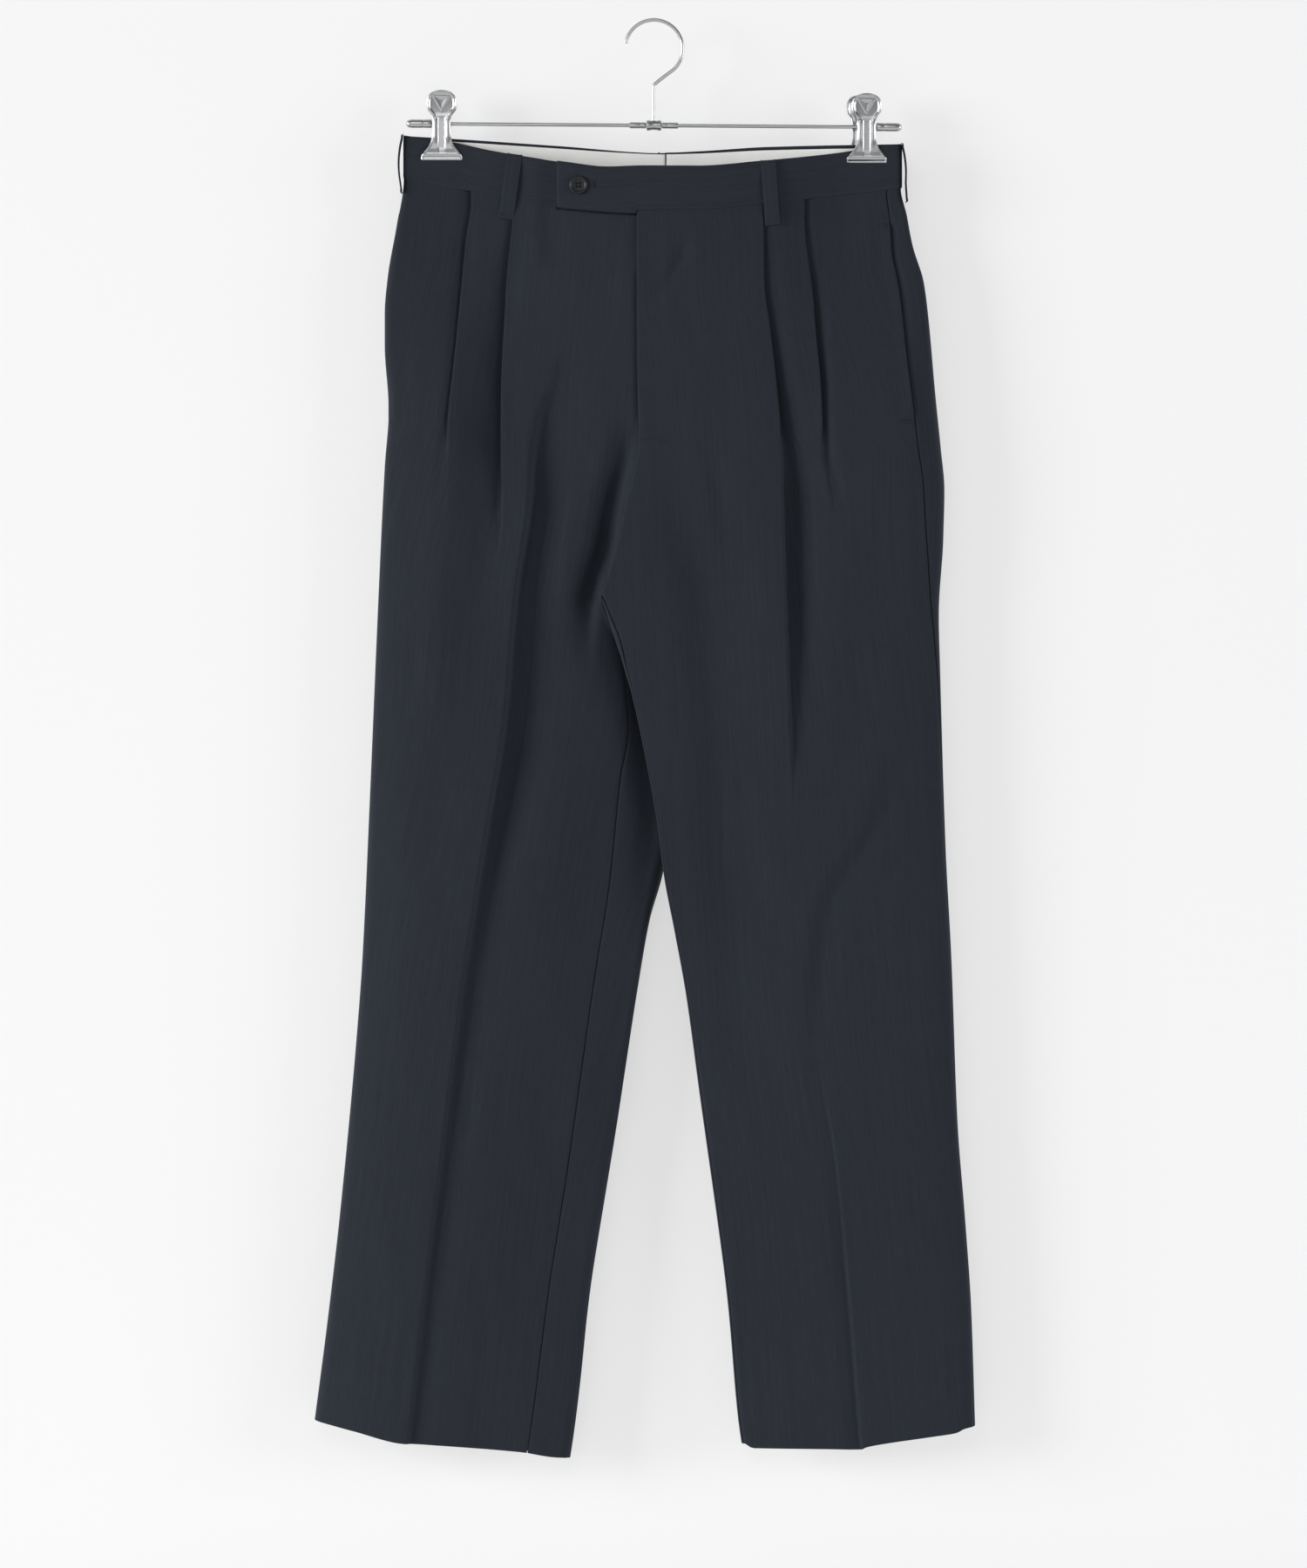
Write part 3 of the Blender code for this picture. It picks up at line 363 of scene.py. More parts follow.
LEFT = Leg(
    side="left",
    inward=-1,
    outer=((-91, 198.4), (-126, 198.4), (-148, 203.1), (-174, 208), (-203, 216.6), (-226, 219.7),
           (-305, 226.7), (-344, 230.6), (-376, 233.4), (-416, 232.5), (-477, 228.9), (-519, 229.9),
           (-664, 234.4), (-752, 239), (-883, 243.9), (-964, 250.2), (-1032, 254.9), (-1128, 258.2)),
    seam_turn=((-126, -13), (-162, -18), (-203, -24), (-245, -24), (-305, -22.5), (-376, -20), (-416, -16.5),
               (-483, -8), (-543, -4.5), (-640, -2), (-1125, -1.5)),
    pleat_outer=((-140, 120), (-155, 120.7), (-206, 126.3), (-246, 129.2), (-286, 132.7), (-350, 136.1),
                 (-374, 143.1), (-458, 152), (-700, 172), (-1125, 212)),
    pleat_inner=((-147, 87.1), (-197, 87.8), (-236, 92), (-315, 99.8), (-354, 102.9), (-447, 107.2),
                 (-543, 113), (-682, 117.9), (-808, 127), (-917, 142.4), (-1026, 153.6), (-1145, 164.8)),
    crease=(),
    inseam=((-462, -41), (-480, -33.5), (-500, -26), (-511, -23.6), (-530, -19.4), (-544, -16), (-597, -4.8),
            (-643, 3.5), (-686, 8.9), (-731, 17.5), (-781, 26.6), (-857, 37.1), (-1032, 60.9), (-1106, 68.6),
            (-1142, 74.2)),
    inner=((-462, -42.8), (-476, -38.1), (-511, -26.6), (-544, -17.1), (-597, -5.9), (-643, 2.4),
           (-686, 7.8), (-731, 16.4), (-781, 25.5), (-857, 36), (-1032, 59.8), (-1106, 67.5), (-1142, 73.1)),
    fly=((-126, -13.6), (-265, -13.3), (-340, -12.2), (-361, -16.1), (-395, -24.1), (-435, -33.5),
         (-462, -42.8)),
    centre_back=((-126, 9.2), (-300, 2), (-395, -18), (-440, -35), (-462, -42.6)),
    back_crease=((-126, 103), (-460, 98), (-690, 118), (-1125, 165)),
    hem=((73, -1141.7), (80, -1145.2), (144, -1145.6), (165, -1145.9), (171, -1143.8), (186, -1141),
         (225, -1135.4), (243, -1132.6), (249, -1129.6), (258, -1127.7)),
    inner_depth=((-300, 0), (-380, -3), (-430, -7), (-462, -9.5), (-490, -11), (-680, -10), (-800, -2),
                 (-1125, 0)),
    flat_front=((-440, 0), (-480, 4), (-1125, 4)),
    flat_back=((-360, 0), (-480, 40), (-680, 40), (-800, 6), (-1125, 4)),
)
# ---- both legs: (height, size) ---------------------------------------------------------------
TURN_RADIUS = ((-126, 3.0), (-200, 5.0), (-1125, 5.0))      # of the round turns at the sides
INNER_TURN = ((-462, 2.2), (-760, 2.4), (-900, 4.0), (-1125, 5.0))      # the turn between the legs is tighter
# how far the crease stands out, and the wall at its inner edge
FRONT_LIFT = ((-126, 12), (-300, 15), (-460, 17), (-700, 17), (-1125, 13))
BACK_LIFT = ((-126, 9), (-200, 14), (-330, 22), (-460, 18), (-700, 17), (-1125, 14))
FRONT_INNER = ((-126, 17), (-250, 15), (-340, 11), (-400, 7), (-440, 4.5), (-462, 3), (-490, 0), (-1125, 0))
BACK_INNER = ((-126, 9), (-250, 12), (-340, 10), (-430, 3), (-455, -2), (-480, 0), (-1125, 0))
print("a leg from the waist seam to the hem: %.0f mm" % (WAIST - HEM))

# %% [markdown]
# ## Reading the lines
# `along` joins the points of a line by cubic pieces. The slope at each point is the harmonic mean of the
# slopes beside it, and level where they disagree in sign, so the curve has no bulge that the table doesn't
# have.

# %% Reading the lines


def smooth_step(value, start, end):
    """0 at start, 1 at end, level at both."""
    share = np.clip((value - start) / (end - start), 0.0, 1.0)
    return share * share * (3.0 - 2.0 * share)


def mix(first, second, share):
    """The first value at share 0, the second at share 1."""
    return first + (second - first) * share


def along(line, at):
    """Values along a line of (place, value) pairs, smooth and without overshoot."""
    at = np.asarray(at, float)
    if not hasattr(line, "__len__"):
        return np.full(at.shape, float(line))
    places, values = np.array(sorted(line), float).T
    slopes = np.diff(values) / np.diff(places)
    before, after = slopes[:-1], slopes[1:]
    same = before * after > 0.0
    middle = np.where(same, 2.0 * before * after / np.where(same, before + after, 1.0), 0.0)
    tangents = np.concatenate([slopes[:1], middle, slopes[-1:]])
    k = np.clip(np.searchsorted(places, at, side="right") - 1, 0, len(places) - 2)
    width = places[k + 1] - places[k]
    t = np.clip((at - places[k]) / width, 0.0, 1.0)
    return (values[k] * (1 + 2 * t) * (1 - t) ** 2 + values[k + 1] * t * t * (3 - 2 * t)
            + width * (tangents[k] * t * (1 - t) ** 2 - tangents[k + 1] * t * t * (1 - t)))


print("waist seam at centre front: %.1f mm" % along(FRONT_WAIST, 0.0))

# %% [markdown]
# ## Folds placed one by one
# Cloth that hangs from pleats and a pressed crease never lies even. Each `Fold` is one soft trough or
# ridge: the line that it follows, how deep it is at some heights (a trough is negative, a ridge positive),
# and how far it spreads to each side of its line. Unequal spreads make one flank steep and the other
# gentle, as a fold that leans. They are uneven in length and depth on purpose. Along the right crease the
# cloth falls away to a long hollow. Above it a second hollow lies against the inner pleat, where the cloth
# is pulled under.

# %% Folds of the fronts and backs
Fold = namedtuple("Fold", "line depth before after")
# the crease's edge, softer at its upper end
FALL = ((-250, 8.0), (-320, 4.5), (-400, 2.2), (-1125, 1.6))
FOLDS = {
    ("right", False): (
        # the valley between the two pleats, steep against the inner one
        Fold(((-140, -112.8), (-198, -118), (-234, -119.8), (-305, -122.5), (-388, -122.5), (-462, -130)),
             ((-150, 0), (-200, -4.0), (-262, -8.5), (-330, -9.5), (-370, -5.0), (-410, -1.5),
              (-440, 0)), 31, 0.8),
        # the same valley, open and soft below the pleat
        Fold(((-320, -126), (-388, -128), (-462, -133), (-580, -146)),
             ((-300, 0), (-345, -3.0), (-400, -6.5), (-460, -6.5), (-530, -3.0), (-620, 0)), 27, 44),
        Fold(((-250, -160), (-420, -171), (-620, -186)),
             ((-230, 0), (-330, 0.8), (-450, 1.2), (-620, 0)), 10, 14),
        # the hollow that starts above the crease and runs down its inner side
        Fold(((-255, -66), (-290, -76), (-320, -88), (-350, -94), (-388, -97.3), (-458, -108), (-563, -117.5),
              (-644, -130.7), (-736, -145.5), (-838, -159.6), (-979, -176.6), (-1140, -197.3)),
             ((-250, 0), (-290, -3.0), (-335, -8.0), (-400, -13.0), (-580, -13.5), (-680, -9.5), (-760, -6.5),
              (-1125, -3.6)), FALL,
             ((-300, 26), (-340, 44), (-420, 46), (-520, 38), (-700, 24), (-1125, 20))),
        # the crotch fold beside the fly
        Fold(((-325, -20), (-340, -23), (-384, -34), (-435, -43), (-458, -50)),
             ((-318, 0), (-345, -6.5), (-384, -12.5), (-425, -12.5), (-450, -7.0), (-480, 0)), 10, 10),
        Fold(((-420, -46), (-462, -51), (-530, -55)), ((-420, 0), (-458, -5.0), (-530, 0)), 11, 5),
        # the inner thigh falls away under the left leg
        Fold(((-470, -30), (-510, -20), (-545, -12), (-580, -8), (-640, -1), (-700, 6)),
             ((-468, 0), (-505, -3.0), (-550, -7.0), (-590, -5.0), (-650, -2.0), (-700, 0)), 8, 16),
        Fold(((-380, -64), (-450, -74), (-520, -82)), ((-370, 0), (-430, 1.8), (-530, 0)), 12, 10),
        Fold(((-600, -74), (-800, -98), (-1000, -128)),
             ((-560, 0), (-700, 1.0), (-900, 0.8), (-1060, 0)), 20, 18),
        Fold(((-520, -190), (-700, -196), (-950, -214)),
             ((-500, 0), (-640, 0.8), (-800, 0.5), (-960, 0)), 16, 20),
        Fold(((-140, -40), (-200, -46), (-300, -55)), ((-126, 0), (-190, -1.0), (-310, 0)), 16, 14),
    ),
    ("left", False): (
        # the hollow outside the inner pleat and the crease
        Fold(((-160, 88), (-197, 88.6), (-236, 92.8), (-315, 100.6), (-354, 103.8), (-447, 106.2),
              (-543, 109.5), (-610, 112)),
             ((-150, 0), (-200, -1.2), (-275, -3.4), (-340, -7.5), (-400, -12.0), (-460, -11.5), (-530, -7.0),
              (-620, 0)), 0.8, ((-250, 12), (-400, 26), (-620, 26))),
        # the hollow outside the outer pleat
        Fold(((-150, 121.5), (-206, 127.1), (-246, 130), (-286, 133.5), (-350, 137), (-401, 147),
              (-470, 157)),
             ((-145, 0), (-200, -1.4), (-262, -2.6), (-330, -2.2), (-400, 0)), 0.8, 8),
        # the long soft valley down the inside of the leg
        Fold(((-330, 16), (-388, 24), (-458, 42), (-528, 49), (-777, 70), (-900, 84)),
             ((-320, 0), (-390, -3.0), (-460, -6.2), (-600, -6.0), (-790, -3.4), (-900, 0)), 20, 38),
        Fold(((-350, 48), (-392, 54), (-440, 62)), ((-335, 0), (-380, -2.4), (-440, 0)), 7, 10),
        # the drag fold across the knee
        Fold(((-590, 196), (-640, 181), (-713, 140), (-813, 129), (-896, 147)),
             ((-580, 0), (-640, -2.6), (-700, -3.0), (-820, -1.6), (-900, 0)), 8, 14),
        Fold(((-300, 196), (-420, 206), (-560, 214)), ((-290, 0), (-400, 1.0), (-560, 0)), 12, 12),
        Fold(((-480, 176), (-620, 186), (-760, 200)), ((-460, 0), (-600, 1.0), (-770, 0)), 18, 18),
        Fold(((-840, 131), (-913, 144.5), (-1026, 155.6), (-1142, 166.8)),
             ((-840, 0), (-913, -1.6), (-1020, -2.4), (-1142, -2.4)), 8, 1.5),
        Fold(((-156, 24), (-178, 16), (-211, -2)), ((-146, 0), (-170, -2.0), (-215, 0)), 4, 6),
    ),
    ("right", True): (
        Fold(((-150, -92), (-260, -104), (-400, -116)),
             ((-140, 0), (-230, 2.0), (-330, 2.6), (-430, 0)), 16, 20),
        Fold(((-300, -60), (-420, -84), (-520, -96)), ((-290, 0), (-400, -2.6), (-520, 0)), 16, 14),
        Fold(((-520, -84), (-600, -108), (-660, -140)), ((-500, 0), (-590, -2.4), (-670, 0)), 12, 14),
        Fold(((-620, -52), (-720, -84), (-800, -124)), ((-600, 0), (-700, 1.8), (-810, 0)), 16, 16),
        Fold(((-380, -180), (-520, -188), (-700, -196)), ((-370, 0), (-500, -1.6), (-700, 0)), 16, 14),
        Fold(((-860, -140), (-980, -152), (-1080, -160)), ((-850, 0), (-960, 1.2), (-1090, 0)), 18, 16),
    ),
    ("left", True): (
        Fold(((-150, 96), (-270, 104), (-420, 100)),
             ((-140, 0), (-240, 2.2), (-340, 2.4), (-440, 0)), 18, 16),
        Fold(((-290, 52), (-400, 74), (-510, 84)), ((-280, 0), (-390, -2.4), (-510, 0)), 14, 16),
        Fold(((-500, 60), (-580, 92), (-650, 140)), ((-490, 0), (-580, -2.0), (-660, 0)), 14, 12),
        Fold(((-640, 60), (-740, 92), (-830, 140)), ((-620, 0), (-730, 1.6), (-840, 0)), 16, 18),
        Fold(((-400, 184), (-560, 190), (-720, 196)), ((-390, 0), (-540, -1.8), (-730, 0)), 14, 16),
        Fold(((-880, 136), (-990, 146), (-1090, 156)), ((-870, 0), (-980, 1.1), (-1095, 0)), 16, 18),
    ),
}
print("folds:", {side + (" back" if back else " front"): len(row) for (side, back), row in FOLDS.items()})

# %% [markdown]
# ## The hanging form
# Both legs are flat tubes: a front and a back wall that meet in round turns at the sides. The waist bows
# out between the clips, and below it each wall rises to a pressed crease. `surface` gives the depth of a
# wall at any place, with its folds and a faint ripple of the cloth added, and both let go near the turns,
# so that the two walls still meet there.

# %% Surface of a leg
WAIST_BOW_FRONT, WAIST_BOW_BACK = 17.0, 8.0
BOW_ROUND = (2.6, 1.7)                      # powers that shape the bow: flat in the middle, soft at the clips
BOW_FREE = 4.0                              # the bow starts this far under a clip's jaw
BOW_FADE = (-400.0, -130.0)                 # between these heights the bow turns into the creased leg
LEGS_PART = (-484.0, -462.0)                # between these the two legs close into tubes of their own
CREASE_SHARE = {"right": 1.0, "left": 0.45}      # the left leg hangs flatter
CREASE_FADE = (280.0, 440.0)                # below the hook: there the left crease weakens
OUTER_BULGE = {"right": 0.75, "left": 1.0}       # how early a wall rises from its side
OUTER_ROUND = {"right": 0.35, "left": 0.80}      # share of the lift that is gained close to the side
OUTER_REACH = {"right": 20.0, "left": 11.0}
OUTER_FADE = (150.0, 300.0)
INNER_BULGE, BACK_BULGE = 0.10, 0.25
CORNER_STEPS = (-28.0, -14.0, 0.0, 14.0, 28.0)     # heights that round off the corner at the crotch
CREASE_ROUND = ((-126, 34), (-300, 20), (-420, 7), (-520, 2.5), (-1125, 1.2))


def turn_depth(distance, radius):
    """Depth of a round turn at a distance in from its tip."""
    reach = 1.0 - np.clip(distance / radius, 0.0, 1.0)
    return radius * np.sqrt(1.0 - reach * reach)


def turn_reach(run, radius):
    """How far across a walk of this length round a turn comes; past its quarter circle it goes straight."""
    quarter = radius * math.pi / 2.0
    rounded = radius * (1.0 - np.cos(run / radius))
    return np.where(np.abs(run) < quarter, rounded, radius + np.abs(run) - quarter)


def tent(distance, span, flat, rounding, bulge):
    """0 at the edge, 1 at the crease, which is rounded off over some millimetres; bulge rises early."""
    span = np.maximum(1.0, span - flat)
    share = np.clip((distance - flat) / span, 0.0, 1.0)
    soft = rounding / span
    away = (np.sqrt((1.0 - share) ** 2 + soft ** 2) - soft) / (np.sqrt(1.0 + soft ** 2) - soft)
    share = 1.0 - away
    return share + bulge * share * (1.0 - share)


def inner_edge(leg, height, back):
    """The leg's inner edge, or the fly or centre back above the crotch."""
    open_edge = along(leg.centre_back if back else leg.fly, height)
    return np.where(height < CROTCH, along(leg.inner, height), open_edge)


def ridge(leg, across, height, back):
    """Depth outside the turns: a ridge at the crease, falling to both edges of the leg."""
    outer = along(leg.outer, height)
    inner = sum(inner_edge(leg, height + step, back) for step in CORNER_STEPS) / len(CORNER_STEPS)
    crease = along(leg.back_crease if back else leg.crease or leg.pleat_inner, height)
    lift = along(BACK_LIFT if back else FRONT_LIFT, height)
    if not back:
        lift = lift * mix(1.0, CREASE_SHARE[leg.side], smooth_step(-height, *CREASE_FADE))
    inner_depth = along(BACK_INNER if back else FRONT_INNER, height)
    flat = along(leg.flat_back if back else leg.flat_front, height)
    rounding = along(CREASE_ROUND, height)
    outer_bulge = BACK_BULGE if back else OUTER_BULGE[leg.side]
    outside = tent(np.abs(across - outer), np.abs(crease - outer), 0.0, rounding, outer_bulge)
    if not back:
        early = 1.0 - np.exp(-np.abs(across - outer) / OUTER_REACH[leg.side])
        outside = mix(outside, early, OUTER_ROUND[leg.side] * smooth_step(-height, *OUTER_FADE))
    inner_bulge = BACK_BULGE if back else INNER_BULGE
    inside = tent(np.abs(inner - across), np.abs(inner - crease), flat, rounding, inner_bulge)
    inside = np.where((across - inner) * leg.inward > 0.0, 0.0, inside)
    return np.where((across - crease) * leg.inward < 0.0, lift * outside, mix(inner_depth, lift, inside))


def waist_bow(across, back):
    """How far a wall of the waist stands out between the clips."""
    reach = np.clip(np.abs(across) / (CLIP_X - CLIP_JAW_HALF + BOW_FREE), 0.0, 1.0)
    return (WAIST_BOW_BACK if back else WAIST_BOW_FRONT) * (1.0 - reach ** BOW_ROUND[0]) ** BOW_ROUND[1]


print("the waist bows out %.0f mm in front, %.0f mm behind" % (waist_bow(0.0, False), waist_bow(0.0, True)))


# %% [markdown]
# ## Ripples, folds and the whole surface
# A sum of long, faint sine waves with seeded sizes keeps the cloth from looking ironed to glass. Each fold
# adds a bell-shaped trough across its line. Both fade out at the waist seam, which is sewn flat.

# %% Surface with its folds
RIPPLES, ROUND = 14, 6.28        # how many waves, and a full turn of one
RIPPLE_WIDTHS, RIPPLE_LENGTHS, RIPPLE_SLANTS = (26.0, 90.0), (90.0, 420.0), (-0.25, 0.25)
RIPPLE_DEPTH, RIPPLE_SEEDS = 0.55, {"right": 7, "left": 11}
SEWN_FLAT = 40.0        # folds start over this height below the waist seam
FREE_FROM_SIDE = (2.0, 16.0)
FREE_FROM_INNER = (2.0, 14.0)


def ripple(across, height, seed):
    """A faint unevenness of the hanging cloth, longer down the grain than across it."""
    source = np.random.default_rng(seed)
    total = 0.0
    for _ in range(RIPPLES):
        wide, long = source.uniform(*RIPPLE_WIDTHS), source.uniform(*RIPPLE_LENGTHS)
        slant, phase = source.uniform(*RIPPLE_SLANTS), source.uniform(0.0, ROUND)
        total = total + np.sin((across + slant * height) * ROUND / wide + height * ROUND / long + phase)
    return total / RIPPLES


def folds(leg, across, height, back):
    """Depth that the ripple and all folds of one wall add."""
    total = RIPPLE_DEPTH * ripple(across, height, RIPPLE_SEEDS[leg.side])
    for fold in FOLDS[leg.side, back]:
        away = across - along(fold.line, height)
        spread = np.where(away < 0.0, along(fold.before, height), along(fold.after, height))
        total = total + along(fold.depth, height) * np.exp(-(away / spread) ** 2)
    return total * smooth_step(-height, -WAIST, -WAIST + SEWN_FLAT)


def surface(leg, across, height, back):
    """Depth of a wall's outer face; y points to the back."""
    radius = along(TURN_RADIUS, height)
    outer = along(leg.outer, height)
    inner = along(leg.inner, height)
    turn = turn_depth(np.abs(across - outer), radius)
    tube = 1.0 - smooth_step(height, *LEGS_PART)
    tight = along(INNER_TURN, height)
    inner_turn = turn_depth((inner - across) * leg.inward, tight) * radius / tight
    turn = np.minimum(turn, mix(radius, inner_turn, tube))
    share = np.clip((across - outer) / (inner - outer), 0.0, 1.0)
    middle = along(leg.inner_depth, height) * share * share
    hang = 1.0 - smooth_step(height, *BOW_FADE)
    depth = mix(waist_bow(across, back), ridge(leg, across, height, back), hang)
    free = smooth_step(np.abs(across - outer), *FREE_FROM_SIDE)
    free = free * mix(1.0, smooth_step((inner - across) * leg.inward, *FREE_FROM_INNER), tube)
    depth = depth + folds(leg, across, height, back) * free
    return middle + (turn + depth) * (1 if back else -1)


knee = np.array(-700.0)
depth = surface(RIGHT, along(RIGHT.crease, knee), knee, False)
print("depth of the right crease at the knee: %.1f mm" % depth)

# %% [markdown]
# ## Cutting a panel
# A panel is drawn column by column, from one of its long edges to the other. A column is one array of points,
# from waist to hem. `wall` gives a column of a wall at some places across, sunk into the cloth's back by some
# depth along its normal, so that an edge can be rolled in, and `round_side` does the same by the length of a
# walk round the turn at the side.

# %% Columns
HEIGHTS = np.concatenate([[-126.0, -127.2, -127.9, -128.5, -129.1, -129.7, -130.4, -131.4, -133.2],
                          np.arange(-136.0, -200.0, -3.5), np.arange(-200.0, -428.0, -4.6),
                          np.arange(-430.0, -500.0, -2.5), np.arange(-500.0, -1118.0, -5.2), [-1121.0, HEM]])
TAB_END = -77.3                 # free end of the waistband's tab
TAB_DEPTH = 2.4                 # the right half of the waist lies this far behind the tab
TAB_DIVE = (-96.0, -82.0)       # across these places it steps back
TAB_FADE = (-190.0, -160.0)     # between these heights the step dies out
TAB_EDGE = (-1.2, 0.6)
TAB_GROOVE = (-128.9, 0.85, 2.2)     # under the tab's lower edge: its height, half width and depth
FLY_DEPTH = 1.4                 # the right front lies this far behind the fly of the left one
FLY_DIVE = (-4.6, -0.8)
FLY_RELEASE = (-482.0, -464.0)
WAIST_CURVE_END = -330.0        # below this the rows of a panel run level
HEM_CURVE_START = -1000.0       # below this they tilt into the line of the hem
STEP = 0.15         # half of the length over which a slope is measured


def row_height(leg, across, height, back):
    """A panel's row follows the waist seam at its top and the hem at its foot."""
    waist = np.where(back, along(BACK_TOP, across) - BAND_HEIGHT, along(FRONT_WAIST, across))
    top_share = 1.0 - smooth_step(-height, -WAIST, -WAIST_CURVE_END)
    hem_share = smooth_step(-height, -HEM_CURVE_START, -HEM)
    return height + (waist - SEAM_GAP - WAIST) * top_share + (along(leg.hem, across) - HEM) * hem_share


def outer_face(leg, across, height, back):
    """The surface, and the right front's step back under the tab and the fly of the left one."""
    depth = surface(leg, across, height, back)
    if leg.side == "left" or back:
        return depth
    depth = depth + TAB_DEPTH * smooth_step(across, *TAB_DIVE) * smooth_step(height, *TAB_FADE)
    under_tab = smooth_step(across - TAB_END, *TAB_EDGE)
    level, half_width, groove = TAB_GROOVE
    depth = depth + groove * np.exp(-((height - level) / half_width) ** 2) * under_tab
    follow = smooth_step(across - along(LEFT.fly, height), *FLY_DIVE) * smooth_step(height, *FLY_RELEASE)
    under = surface(LEFT, across, height, False) + FLY_DEPTH
    return np.maximum(depth, mix(depth, under, follow))


print("rows in a panel:", len(HEIGHTS))


# %% [markdown]
# ## One column at a time
# A column on a wall stands at given places across. A column on a round turn is found by the length of a walk
# round it, so that columns stay evenly spaced where the cloth turns away from the eye.

# %% Walls and turns
def sunk(point, ahead, behind, side, sink):
    """Move points into the cloth, square to the line from behind to ahead in plan."""
    way = ahead - behind
    normal = np.stack([-way[:, 1], way[:, 0], np.zeros(len(way))], 1)
    normal /= np.linalg.norm(normal, axis=1)[:, None]
    return point + normal * (side * np.asarray(sink, float).reshape(-1, 1))


def wall(leg, across, back=False, sink=0.0, heights=HEIGHTS):
    """One column of the front or the back wall."""
    across = np.broadcast_to(across, heights.shape).astype(float)

    def at(x):
        return np.stack([x, outer_face(leg, x, heights, back), row_height(leg, across, heights, back)], 1)

    if np.all(np.asarray(sink) == 0.0):
        return at(across)
    return sunk(at(across), at(across + STEP), at(across - STEP), -1.0 if back else 1.0, sink)


def round_turn(leg, run, line, inward, sink, heights, turn=TURN_RADIUS):
    """A column at a walk round a turn whose tip follows a line; it passes from the front to the back."""
    radius = along(turn, heights)
    edge = along(line, heights)

    def at(walk):
        across = edge + inward * turn_reach(walk, radius)
        depth, level = [np.where(walk > 0.0, at_back, at_front) for at_back, at_front in (
            (outer_face(leg, across, heights, True), outer_face(leg, across, heights, False)),
            (row_height(leg, across, heights, True), row_height(leg, across, heights, False)))]
        return np.stack([across, depth, level], 1)

    run = np.broadcast_to(run, heights.shape).astype(float)
    return sunk(at(run), at(run + STEP), at(run - STEP), -inward, sink)


def round_side(leg, run, sink=0.0, heights=HEIGHTS):
    """One column on the turn at the outer side; run counts from its tip, back is positive."""
    return round_turn(leg, run, leg.outer, leg.inward, sink, heights)


def round_inner(leg, run, sink=0.0, heights=HEIGHTS):
    """The same on the turn between the legs."""
    return round_turn(leg, run, leg.inner, -leg.inward, sink, heights, INNER_TURN)


crease_column = wall(RIGHT, along(RIGHT.crease, HEIGHTS))
print("length of the right crease: %.0f mm" % np.linalg.norm(np.diff(crease_column, axis=0), axis=1).sum())

# %% [markdown]
# ## Edges
# No edge of a garment is a bare cut. At a seam the cloth rolls in to its allowance, which leaves a fine dark
# groove. At a pocket mouth, a fly or a hem it is folded back on itself, which shows as a soft round lip. Both
# are short lists of (distance in from the edge, depth), and one can be mixed into the other along a seam, as
# where a side seam opens into a pocket.

# %% Edge shapes
SEAM_EDGE = ((3.2, 0.0), (1.7, 0.04), (1.0, 0.14), (0.55, 0.36), (0.30, 0.75), (0.24, 1.3), (0.22, 2.0))
FOLD_EDGE = ((3.2, 0.0), (1.6, 0.0), (0.7, 0.03), (0.18, 0.28), (0.0, 0.72), (0.22, 1.15), (3.0, 1.35))
POCKET_OPEN = ((-152, 0.0), (-160, 1.0), (-312, 1.0), (-321, 0.0))
FLY_OPEN = ((-126, 1.0), (-326, 1.0), (-340, 0.0))


def edge_steps(folded):
    """(distance, depth) of each step of an edge, which is folded by this share along its length."""
    return [(mix(a[0], b[0], folded), mix(a[1], b[1], folded)) for a, b in zip(SEAM_EDGE, FOLD_EDGE)]


print("steps over an edge:", len(SEAM_EDGE))

# %% [markdown]
# ## Pleats
# A pleat is a fold of cloth laid flat: the panel dives under, turns back, comes forward to the fold's edge
# and turns again. Sewn shut at the waist, it opens further down until only a soft break of the surface is
# left. Each column knows its place in the folded and in the open state, and moves from one to the other
# with height.

# %% Pleat section
PLEAT_STACK = 2.8       # from the top layer of a pleat down to its lowest one
PLEAT_MIDDLE = 1.55
PLEAT_LEAD = 13.0       # the cloth starts to dive under a pleat this far from its edge
PLEAT_TOP = 7.0         # the top layer is level from this far past its edge
LEAD_SHARES = ((-13.0, 0.0), (-10.0, 0.06), (-7.5, 0.17), (-5.4, 0.33), (-3.7, 0.54), (-2.2, 0.78),
               (-0.9, 0.95))
TURNS = (45.0, 90.0, 135.0)
UNDERLAP = ((-126, 10.0), (-200, 8.0), (-262, 4.5), (-318, 2.0))


def pleat_section(under):
    """(offset, depth) of each step through a pleat that laps this far, from the pocket's side inwards."""
    low = (PLEAT_STACK - PLEAT_MIDDLE) / 2.0
    top = PLEAT_MIDDLE / 2.0
    steps = [(x, share * PLEAT_STACK) for x, share in LEAD_SHARES]
    steps += [(under * 0.5, PLEAT_STACK), (under, PLEAT_STACK)]
    for angle in np.radians(TURNS):
        steps.append((under + low * math.sin(angle), PLEAT_MIDDLE + low + low * math.cos(angle)))
    steps += [(under, PLEAT_MIDDLE), (under * 0.5, PLEAT_MIDDLE), (0.0, PLEAT_MIDDLE)]
    for angle in np.radians(TURNS):
        steps.append((-top * math.sin(angle), top + top * math.cos(angle)))
    steps += [(x, 0.0) for x in (0.0, 1.6, 4.0, PLEAT_TOP)]
    return steps


print("steps through a pleat:", len(pleat_section(np.array([8.0]))))

# %% [markdown]
# ## Columns of a pleat
# The fold's edge is a cliff: outside it the lower layers lie in a hollow, and inside it the flap lies on top.
# So each layer reads the depth of the surface on its own side of the edge. The inner right pleat stays folded
# further down than the others.

